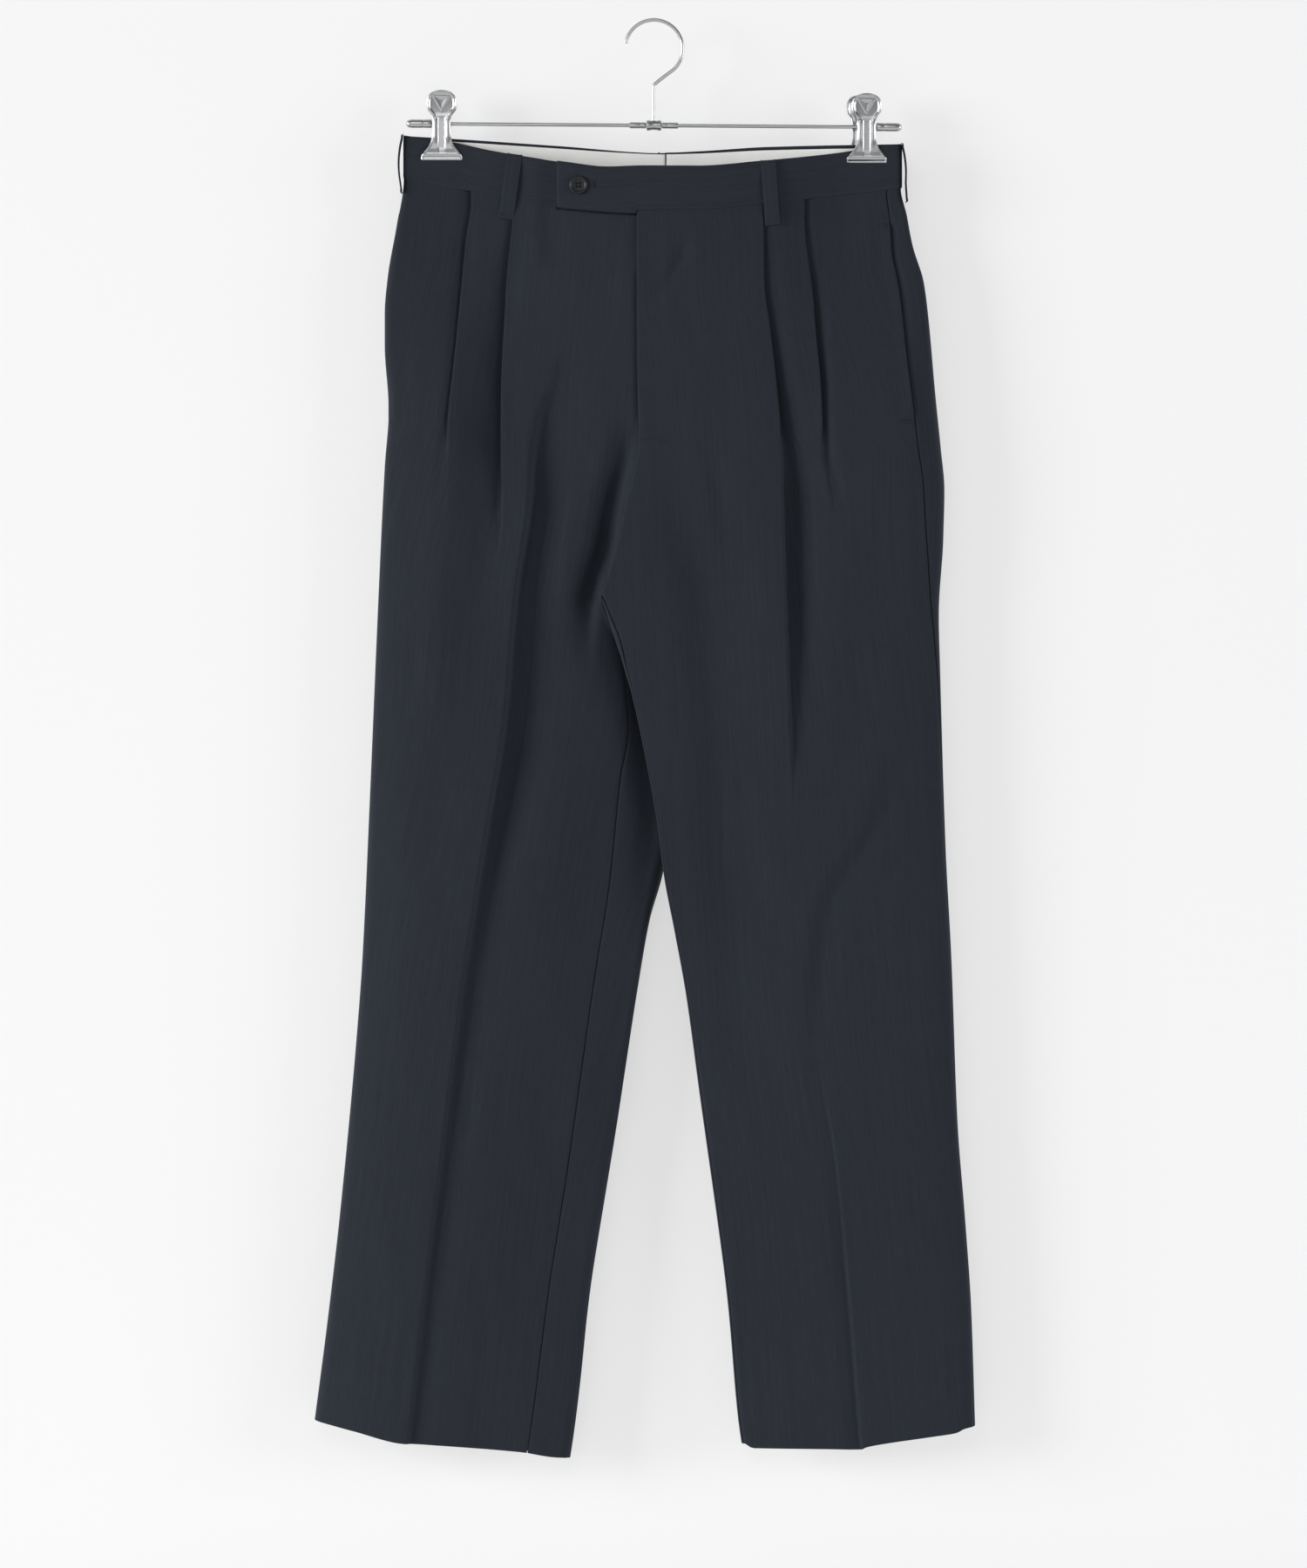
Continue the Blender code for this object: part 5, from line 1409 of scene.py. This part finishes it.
# %% Thread and bar tacks
def thread(name, dark, light):
    recipe = Recipe(name)
    turn = recipe.noise(recipe.place("Object", (2500.0, 2500.0, 2500.0)), 1.0, 1.0) - 0.5
    base = recipe.blend(turn + 0.5, dark, light)
    return recipe.finish({"Base Color": base, "Roughness": 0.45 + turn * 0.3, "Specular IOR Level": 0.3,
                          "Normal": recipe.bump(turn, 0.00005, 0.6)})


THREAD = thread("navy_thread", colour(0.004, 0.005, 0.008), colour(0.010, 0.0125, 0.019))
STITCH, STITCH_POINTS = 0.55, 4         # length of a stitch, and points along it
TACK_ROWS, TACK_HEIGHT = 7, 0.4
LOOP_TACKS = (0.055, 0.955)             # shares of a loop's length
LOOP_TACK_REACH, LOOP_TACK_WIDTH = 5.6, 1.8
POCKET_TACKS = ((-155.0, 6.0), (-322.0, 9.0))       # (height, length) at the ends of a pocket's mouth
POCKET_TACK_WIDTH = 1.7
FLY_TACK = (0.2, -337.5)                # across, height
FLY_TACK_LENGTH, FLY_TACK_TURN, FLY_TACK_WIDTH = 21.0, -5.0, 1.5
TACK_LIFT = 0.05
tacks = []


def bar_tack(start, end, width, face):
    """A ribbed bar from start to end, raised towards face."""
    start, end, face = Vector(start) * MM, Vector(end) * MM, Vector(face).normalized()
    run = end - start
    side = run.normalized().cross(face)
    steps = max(6, int(run.length / (STITCH * MM))) * STITCH_POINTS
    bm = bmesh.new()
    bmesh.ops.create_grid(bm, x_segments=steps, y_segments=TACK_ROWS - 1, size=1.0)
    for vert in bm.verts:
        row, step = divmod(vert.index, steps + 1)
        angle = math.pi * row / (TACK_ROWS - 1.0)
        rib = 0.55 + 0.45 * abs(math.sin(math.pi * step / STITCH_POINTS))
        lift = math.sin(angle) * rib * TACK_HEIGHT * MM
        uneven = 1.0 + 0.06 * math.sin(step * 1.7)
        shift = -math.cos(angle) * 0.5 * width * uneven * MM
        vert.co = start + run * (step / float(steps)) + side * shift + face * lift
    tacks.append(bm)


def loop_tacks(name, side, top_across, low_across, back):
    sign = 1 if back else -1
    for share in LOOP_TACKS:
        across, face, level, _ = loop_line(side, top_across, low_across, back, share)
        depth = face + sign * (float(bow(share)) + TACK_LIFT)
        ends = [(across + reach, depth, level) for reach in (-LOOP_TACK_REACH, LOOP_TACK_REACH)]
        bar_tack(*ends, LOOP_TACK_WIDTH, (0, sign, 0))


def pocket_tacks(leg):
    face = (-leg.inward * (0.6 if leg.side == "right" else 0.15), -1, 0)
    for height, length in POCKET_TACKS:
        seam = np.array([float(along(leg.seam_turn, height)) - 1.0])
        ends = [tuple(round_side(leg, seam - back, -1.0, np.array([height]))[0]) for back in (0.0, length)]
        bar_tack(*ends, POCKET_TACK_WIDTH, face)


def fly_tack():
    across, height = FLY_TACK
    turn = math.radians(FLY_TACK_TURN)
    half = Vector((math.cos(turn), 0.0, math.sin(turn))) * (FLY_TACK_LENGTH / 2.0)
    ends = []
    for sign in (-1.0, 1.0):
        x, z = across + half.x * sign, height + half.z * sign
        point = wall(LEFT, np.array([x]), heights=np.array([z]))[0]
        ends.append((x, point[1] - TACK_LIFT, point[2]))
    bar_tack(*ends, FLY_TACK_WIDTH, (0, -1, 0))


def joined(parts):
    """One bmesh out of several, which are freed."""
    whole = bmesh.new()
    for bm in parts:
        mesh = mesh_of("part", bm)
        whole.from_mesh(mesh)
        bpy.data.meshes.remove(mesh)
    return whole


for row in BELT_LOOPS:
    loop_tacks(*row)
for leg in (RIGHT, LEFT):
    pocket_tacks(leg)
fly_tack()
sewn = joined(tacks)
bmesh.ops.remove_doubles(sewn, verts=sewn.verts, dist=1e-7)
bmesh.ops.recalc_face_normals(sewn, faces=sewn.faces)
mesh = mesh_of("bar_tacks", sewn)
mesh.shade_smooth()
new_object("bar_tacks", mesh, THREAD)
print("bar tacks:", len(tacks))

# %% [markdown]
# ## Button
# A dress trouser button is turned from a horn-like plastic: a rim that stands up, a dished middle and four
# holes. Here a profile is spun once round, and the holes are cut by a Boolean whose result is applied. Its
# back rests where the frame has it.

# %% Button
BUTTON_X, BUTTON_HEIGHT = -60.5, -133.0
BUTTON_RADIUS, BUTTON_THICKNESS = 7.4, 2.6
BUTTON_HOLES, BUTTON_HOLE, BUTTON_HOLE_RING = 4, 0.9, 1.9      # how many, their radius, their distance
DRILL_LENGTH, DRILL_SIDES = 8.0, 24
SMOOTH_UNDER = 35.0         # degrees: sharper edges stay sharp


def resin(name, dark, light):
    recipe = Recipe(name)
    swirl = recipe.noise(recipe.place("Object", (260.0, 260.0, 700.0)), 1.0, 4.0, 0.6)
    scuff = recipe.noise(recipe.place("Object", (1400.0, 1400.0, 1400.0)), 1.0, 3.0)
    return recipe.finish({"Base Color": recipe.blend(swirl, dark, light), "Roughness": 0.36 + scuff * 0.16,
                          "Specular IOR Level": 0.35, "Normal": recipe.bump(scuff, 0.00002, 0.5)})


def spun(profile, steps=64):
    """A closed (radius, height) profile in millimetres, spun once round Z."""
    bm = bmesh.new()
    verts = [bm.verts.new((radius * MM, 0.0, height * MM)) for radius, height in profile]
    edges = [bm.edges.new(pair) for pair in zip(verts, verts[1:])]
    bmesh.ops.spin(bm, geom=verts + edges, cent=(0, 0, 0), axis=(0, 0, 1), angle=2.0 * math.pi, steps=steps,
                   use_merge=True)
    bmesh.ops.remove_doubles(bm, verts=bm.verts, dist=2e-6)
    bmesh.ops.recalc_face_normals(bm, faces=bm.faces)
    return bm


def placed(bm, centre, axis):
    """Turn a piece made along Z to point along axis, and move it to its place in millimetres."""
    turn = Vector((0, 0, 1)).rotation_difference(Vector(axis)).to_matrix().to_4x4()
    bmesh.ops.transform(bm, matrix=Matrix.Translation(Vector(centre) * MM) @ turn, verts=bm.verts)
    return bm


def smooth(mesh, angle=SMOOTH_UNDER):
    """Shade smooth, but keep the edges that turn more than this angle."""
    mesh.shade_smooth()
    mesh.set_sharp_from_angle(angle=math.radians(angle))


def to_object(name, bm, finish, smooth_angle=SMOOTH_UNDER):
    mesh = mesh_of(name, bm)
    smooth(mesh, smooth_angle)
    return new_object(name, mesh, finish)


def apply_modifiers(obj):
    """Replace an object's mesh by its shape with the modifiers, and drop them."""
    bpy.context.view_layer.update()
    shaped = obj.evaluated_get(bpy.context.evaluated_depsgraph_get())
    mesh = bpy.data.meshes.new_from_object(shaped)
    obj.modifiers.clear()
    obj.data = mesh


r, t = BUTTON_RADIUS, BUTTON_THICKNESS
BUTTON_PROFILE = ((0.0, 0.0), (r - 1.6, 0.0), (r - 0.5, 0.35), (r - 0.08, 0.9), (r, 1.3), (r - 0.08, 1.75),
                  (r - 0.35, 2.2), (r - 0.75, 2.5), (r - 1.15, t), (r - 1.5, 2.52), (r - 1.85, 2.2),
                  (r - 2.15, 1.85), (r - 2.6, 1.66), (r - 3.3, 1.58), (2.2, 1.55), (0.0, 1.55))
RESIN = resin("button_resin", colour(0.004, 0.0045, 0.006), colour(0.014, 0.015, 0.019))
button_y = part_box("button")[1].y / MM
blank = placed(spun(BUTTON_PROFILE), (BUTTON_X, button_y, BUTTON_HEIGHT), (0, -1, 0))
button = to_object("resin_button", blank, RESIN)
cutters = []
for i in range(BUTTON_HOLES):
    angle = math.radians(45.0 + 90.0 * i)
    x = BUTTON_X + BUTTON_HOLE_RING * math.cos(angle)
    z = BUTTON_HEIGHT + BUTTON_HOLE_RING * math.sin(angle)
    bm = bmesh.new()
    bmesh.ops.create_cone(bm, cap_ends=True, segments=DRILL_SIDES, radius1=BUTTON_HOLE * MM,
                          radius2=BUTTON_HOLE * MM, depth=DRILL_LENGTH * MM)
    cutter = bpy.data.objects.new("hole", mesh_of("hole", placed(bm, (x, button_y - 1.0, z), (0, -1, 0))))
    bpy.context.scene.collection.objects.link(cutter)
    cut = button.modifiers.new("hole", "BOOLEAN")
    cut.object = cutter
    cutters.append(cutter)
apply_modifiers(button)
for cutter in cutters:
    bpy.data.objects.remove(cutter)
smooth(button.data)
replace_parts(button, "button")
print("button %.1f mm across, %d faces" % (2 * r, len(button.data.polygons)))

# %% [markdown]
# ## Thread through the button and the buttonhole
# Three strands run from hole to hole on each side, and dip into them. The buttonhole's worked end shows
# beside the button as a small block of stitches. Each strand is a circle carried along a row of points.

# %% Thread through the button and the buttonhole
STRAND, STRAND_SHIFTS = 0.17, (-0.28, 0.0, 0.28)        # radius of a strand; three lie side by side
STRAND_SHARES = (-0.9, -0.5, 0.0, 0.5, 0.9)             # places between the two holes
FLOOR_DEPTH = 1.55                                      # of the button's dished middle, from its back
STITCH_BARS, BAR_SPACING, BAR_RADIUS = 9, 0.62, 0.30
# one stitch of the buttonhole's end: across, out from the waistband, up
STITCH_BAR = ((-50.0, 0.1, 0.0), (-49.4, -0.35, 0.0), (-46.4, -0.42, 0.1), (-45.0, -0.3, 0.0),
              (-44.5, 0.1, 0.0))


def strand(points, radius, sides=8):
    """A round strand: a circle carried along a row of points, one extrusion for each."""
    bm = bmesh.new()
    points = [Vector(p) * MM for p in points]
    way = (points[1] - points[0]).normalized()
    turn = Vector((0, 0, 1)).rotation_difference(way).to_matrix().to_4x4()
    bmesh.ops.create_circle(bm, segments=sides, radius=radius * MM, cap_ends=True,
                            matrix=Matrix.Translation(points[0]) @ turn)
    ring = list(bm.edges)
    middle = points[0]
    for k in range(1, len(points)):
        ahead = (points[min(k + 1, len(points) - 1)] - points[k - 1]).normalized()
        out = bmesh.ops.extrude_edge_only(bm, edges=ring)
        verts = [item for item in out["geom"] if isinstance(item, bmesh.types.BMVert)]
        edges = [item for item in out["geom"] if isinstance(item, bmesh.types.BMEdge)]
        ring = [edge for edge in edges if all(vert in verts for vert in edge.verts)]
        spin = way.rotation_difference(ahead).to_matrix()
        for vert in verts:
            vert.co = points[k] + spin @ (vert.co - middle)
        way, middle = ahead, points[k]
    bmesh.ops.edgeloop_fill(bm, edges=ring)
    bmesh.ops.recalc_face_normals(bm, faces=bm.faces)
    return bm


strands = []
q = BUTTON_HOLE_RING * math.cos(math.radians(45.0))
floor_y = button_y - FLOOR_DEPTH
for side in (-1.0, 1.0):
    for shift in STRAND_SHIFTS:
        level = BUTTON_HEIGHT + side * q + shift
        path = [(BUTTON_X - q - 0.1, floor_y + 0.9, level)]
        for share in STRAND_SHARES:
            path.append((BUTTON_X + q * share, floor_y - 0.28 - 0.18 * (1 - share * share), level))
        path.append((BUTTON_X + q + 0.1, floor_y + 0.9, level))
        strands.append(strand(path, STRAND))
to_object("button_thread", joined(strands), THREAD)

hole_bars = []
left_face = band_point(LEFT, band_run(LEFT, -47.0, False), 0.5)[1]
for i in range(STITCH_BARS):
    level = BUTTON_HEIGHT + 0.4 + (i - STITCH_BARS // 2) * BAR_SPACING
    path = [(x, left_face + y, level + z) for x, y, z in STITCH_BAR]
    hole_bars.append(strand(path, BAR_RADIUS, 6))
to_object("buttonhole_end", joined(hole_bars), THREAD)
print("strands through the button:", len(strands), "stitches of the buttonhole:", len(hole_bars))

# %% [markdown]
# ## Steel
# The hanger is bent from bright wire and stamped from sheet, all of it plated. What makes it read as metal
# is what it mirrors, so the material is nearly plain: full metal, a low roughness that wanders a little,
# and fine scratches along the wire and across the stampings.

# %% Steel
def steel(name, tint, low, scratch):
    recipe = Recipe(name)
    grain = recipe.noise(recipe.place("Object", scratch), 1.0, 3.0)
    smear = recipe.noise(recipe.place("Object", (90.0, 90.0, 90.0)), 1.0, 3.0)
    base = recipe.blend(smear, colour(tint * 0.93, tint * 0.94, tint * 0.96), colour(tint, tint, tint))
    return recipe.finish({"Base Color": base, "Metallic": 1.0, "Roughness": low + grain * 0.10 + smear * 0.08,
                          "Normal": recipe.bump(grain, 0.00002, 0.35)})


WIRE = steel("bright_wire", 0.56, 0.22, (300.0, 300.0, 2600.0))
STAMPED = steel("stamped_steel", 0.52, 0.24, (1600.0, 300.0, 200.0))
TUBE = steel("crimped_tube", 0.54, 0.24, (200.0, 1800.0, 1800.0))
print("finishes of the hanger:", WIRE.name, STAMPED.name, TUBE.name)

# %% [markdown]
# ## Hook
# The hook is one wire: most of a circle, a slanted neck and a stem. A circle carried along that line makes
# it, and its tip is cut square with a broken edge.

# %% Hook
WIRE_RADIUS, WIRE_SIDES, HOOK_RADIUS = 1.5, 20, 23.1
HOOK_TIP_ANGLE, HOOK_NECK_ANGLE = 169.0, -47.0
HOOK_STEPS = 72
NECK_SHARES = (0.08, 0.18, 0.3, 0.42, 0.54, 0.66, 0.78, 0.88, 0.95)
STEM_TOP, BAR_HEIGHT, BAR_TILT = -50.8, -83.3, 0.0075


def bar_height(across):
    """Height of the bar's middle."""
    return BAR_HEIGHT - BAR_TILT * across


centre = WIRE_RADIUS - HOOK_RADIUS
line = []
for step in range(HOOK_STEPS + 1):
    angle = math.radians(mix(HOOK_TIP_ANGLE, HOOK_NECK_ANGLE, step / float(HOOK_STEPS)))
    line.append((HOOK_RADIUS * math.cos(angle), 0.0, centre + HOOK_RADIUS * math.sin(angle)))
neck = line[-1]
for share in NECK_SHARES:
    line.append((neck[0] * (1.0 - share) ** 1.08, 0.0, mix(neck[2], STEM_TOP, share)))
line += [(0.0, 0.0, z) for z in (STEM_TOP - 1.2, STEM_TOP - 3.0, -60.0, -70.0, BAR_HEIGHT + 4.0)]
bm = strand(line, WIRE_RADIUS, WIRE_SIDES)
start = Vector(line[0]) * MM
tip = [edge for edge in bm.edges if all((vert.co - start).length < 1.52 * MM for vert in edge.verts)]
bmesh.ops.bevel(bm, geom=tip, offset=0.25 * MM, segments=2, profile=0.5, affect="EDGES", material=-1)
hook = to_object("hook_wire", bm, WIRE, 50.0)
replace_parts(hook, "hanger_hook")
print("points along the hook's wire:", len(line))

# %% [markdown]
# ## Bar, barrel, sleeves and caps
# The bar runs through the hook's barrel, which is crimped in the middle, and through two short sleeves that
# keep it in place. Bullet-shaped caps close its ends. All of them are turned shapes, so each is a profile
# of (radius, place along the bar), spun once round and threaded on the bar, which hangs a little out of
# level.

# %% Bar, barrel, sleeves and caps
BAR_HALF, SLEEVE_X, CAP_X = 190.0, 12.95, 178.5
KNUCKLE = ((1.8, -6.0), (3.5, -6.0), (4.1, -5.6), (4.3, -4.9), (4.25, -3.6), (3.9, -2.7), (3.72, -1.6),
           (3.7, 0.0), (3.72, 1.6), (3.9, 2.7), (4.25, 3.6), (4.3, 4.9), (4.1, 5.6), (3.5, 6.0),
           (1.8, 6.0), (1.8, 0.0), (1.8, -6.0))
SLEEVE = ((1.8, -6.5), (2.1, -6.55), (2.4, -6.4), (2.5, -6.05), (2.5, -3.2), (2.38, -2.6), (2.38, -1.8),
          (2.5, -1.2), (2.5, 5.8), (2.42, 6.3), (2.1, 6.55), (1.8, 6.5), (1.8, 0.0), (1.8, -6.5))
CAP = ((1.8, 0.0), (2.9, 0.0), (3.3, 0.15), (3.5, 0.6), (3.5, 5.2), (3.3, 5.9), (3.26, 6.8), (3.45, 7.6),
       (3.5, 8.4), (3.5, 15.4), (3.42, 16.6), (3.2, 17.8), (2.85, 18.8), (2.3, 19.7), (1.6, 20.3),
       (0.8, 20.45), (0.0, 20.5))
ends = [(x, 0.0, bar_height(x)) for x in np.linspace(-BAR_HALF, BAR_HALF, 39)]
bar = to_object("bar_wire", strand(ends, WIRE_RADIUS, WIRE_SIDES), WIRE, 50.0)
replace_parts(bar, "hanger_bar")
along_bar = Vector((1.0, 0.0, -BAR_TILT)).normalized()


def threaded(name, profile, x, way, steps=48, smooth_angle=SMOOTH_UNDER):
    """A turned piece on the bar at x, pointing this way along it."""
    bm = placed(spun(profile, steps), (x, 0.0, bar_height(x)), along_bar * way)
    return to_object(name, bm, TUBE, smooth_angle)


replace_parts(threaded("hook_barrel", KNUCKLE, 0.0, 1.0), "hanger_knuckle")
SIDES = (("right", -1.0), ("left", 1.0))
for side, sign in SIDES:
    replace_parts(threaded("bar_sleeve_" + side, SLEEVE, sign * SLEEVE_X, sign, 40), "hanger_sleeve_" + side)
for side, sign in SIDES:
    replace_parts(threaded("bar_cap_" + side, CAP, sign * CAP_X, sign, 48, 60.0), "hanger_cap_" + side)
print("the bar is %.1f mm long over its caps" % (2.0 * (CAP_X + CAP[-1][1])))

# %% [markdown]
# ## Clips
# Each clip is two stampings from sheet steel, hinged on a coiled spring that rides on the bar. A stamping
# has one outline but much relief: a rim pressed up all round the grip, a raised triangle with a dimple in
# it, a channel between two ribs down the neck, and a flared jaw with a flat lip. A grid is laid into the
# outline row by row, and a height function presses the relief into it, as the die does. Solidify gives the
# sheet its thickness.

# %% Clip stampings
CLIP_OUTLINE = ((26.5, 0.0), (26.3, 3.0), (25.6, 5.9), (24.3, 8.5), (22.0, 10.6), (18.5, 11.9),
                (15.0, 12.1), (11.8, 11.4), (9.2, 9.5), (6.5, 8.0), (4.0, 7.4), (0.0, 7.25), (-6.0, 7.3),
                (-10.0, 7.5), (-13.5, 8.2), (-17.0, 9.6), (-20.5, 12.0), (-23.5, 14.4), (-25.6, 15.9),
                (-27.0, 16.4), (-29.2, 16.4), (-29.5, 16.0))
TRIANGLE = ((-6.2, 21.6), (6.2, 21.6), (0.0, 11.0))
CLIP_LEVELS, CLIP_PLACES = 132, 56         # rows and columns of a stamping
CLIP_OUT, CLIP_LEAN, CLIP_SHEET = 4.9, 0.00256, 1.0        # of a plate: distance, lean outwards, thickness
CLIP_RELIEF = 0.8           # share of the drawn relief that is pressed in
CLIP_TOP, CLIP_FOOT = 26.6, -29.6
CLIPS = (("right", -170.5, 0.0), ("left", 170.8, -4.0))     # side, across, how far its back plate is shifted


def from_triangle(x, z):
    """Signed distance to the triangle on the grip, negative inside."""
    inside = np.full(np.shape(x), -1e9)
    for (ax, az), (bx, bz) in zip(TRIANGLE, TRIANGLE[1:] + TRIANGLE[:1]):
        length = math.hypot(bx - ax, bz - az)
        inside = np.maximum(inside, ((bx - ax) * (z - az) - (bz - az) * (x - ax)) / length)
    return inside


def bump_of(distance, width):
    """A bell: 1 on its line, fading out over this width."""
    return np.exp(-(distance / width) ** 2)


def clip_relief(x, z, half):
    """How far the stamping stands out at one place; half is its half width at that height."""
    to_edge = np.minimum(half - np.abs(x), np.minimum(CLIP_TOP - z, z - CLIP_FOOT))
    head = smooth_step(z, 4.0, 9.0)
    neck = smooth_step(-z, -6.0, -1.0) * smooth_step(z, -17.0, -10.0)
    jaw = smooth_step(-z, 11.0, 19.0)
    relief = 0.95 * head * bump_of(to_edge - 1.5, 1.15)
    relief = relief - 0.45 * head * smooth_step(to_edge, 1.8, 3.4)
    relief = relief + 0.75 * head * bump_of(from_triangle(x, z), 0.8)
    small = from_triangle(x * 2.0, (z - 17.6) * 2.0 + 17.6)
    relief = relief - 0.5 * head * smooth_step(-small, -0.4, 0.8)
    relief = relief + 0.8 * neck * bump_of(np.abs(x) - 5.1, 1.2)
    channel = smooth_step(-np.abs(x), -3.1, -2.3) * smooth_step(-z, -5.8, -4.6) * smooth_step(z, -25.0, -19.0)
    relief = relief - 0.7 * channel
    relief = relief + 0.5 * jaw * bump_of(z + 24.8, 1.0) + 0.25 * jaw * bump_of(to_edge - 0.9, 0.8)
    relief = relief - 0.35 * bump_of(to_edge, 0.5)
    return relief


def make_stamping(name, across, sign):
    """One plate of a clip; sign is -1 for the front one and 1 for the back one."""
    levels = np.concatenate([[26.5, 26.42, 26.2], np.linspace(25.9, -29.1, CLIP_LEVELS - 5), [-29.4, -29.5]])
    half = np.maximum(0.02, along(CLIP_OUTLINE, levels))
    places = np.linspace(-1.0, 1.0, CLIP_PLACES)
    places = np.sign(places) * (1.0 - (1.0 - np.abs(places)) ** 1.25)
    x = half[:, None] * places[None, :]
    z = np.broadcast_to(levels[:, None], x.shape)
    lean = CLIP_LEAN * np.maximum(0.0, z) ** 2
    jaw_in = smooth_step(-z, 20.0, 27.5)
    out = CLIP_OUT + clip_relief(x, z, half[:, None]) * CLIP_RELIEF + lean - jaw_in
    points = np.stack([across + x, sign * out, bar_height(across) + z], 2) * MM
    made = new_object(name, grid_mesh(name, points, (0.0, sign, 0.0)), STAMPED)
    solidify(made, CLIP_SHEET)
    return made


for side, across, shift in CLIPS:
    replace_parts(make_stamping("stamping_front_" + side, across, -1.0), "clip_front_" + side)
    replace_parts(make_stamping("stamping_back_" + side, across + shift, 1.0), "clip_back_" + side)
print("stampings:", 2 * len(CLIPS))

# %% [markdown]
# ## Clip springs
# Between the two plates of a clip sits its spring, a few turns of wire round the bar. It is one strand,
# wound as a helix that follows the bar's small tilt.

# %% Clip springs
SPRING_TURNS, SPRING_STEPS = 5, 24
SPRING_RADIUS, SPRING_WIRE, SPRING_LENGTH = 2.45, 0.55, 11.2
for side, across, _ in CLIPS:
    coil = []
    for step in range(SPRING_TURNS * SPRING_STEPS + 1):
        angle = 2.0 * math.pi * step / SPRING_STEPS
        x = across - SPRING_LENGTH / 2.0 + SPRING_LENGTH * step / (SPRING_TURNS * SPRING_STEPS)
        coil.append((x, SPRING_RADIUS * math.cos(angle), bar_height(x) + SPRING_RADIUS * math.sin(angle)))
    spring = to_object("clip_spring_" + side, strand(coil, SPRING_WIRE, 8), WIRE, 60.0)
    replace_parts(spring, "clip_barrel_" + side)
print("clips with springs:", len(CLIPS))

# %% [markdown]
# ## Size
# The dressed model has to keep the frame's size.

# %% Size and finish
print("dressing done")
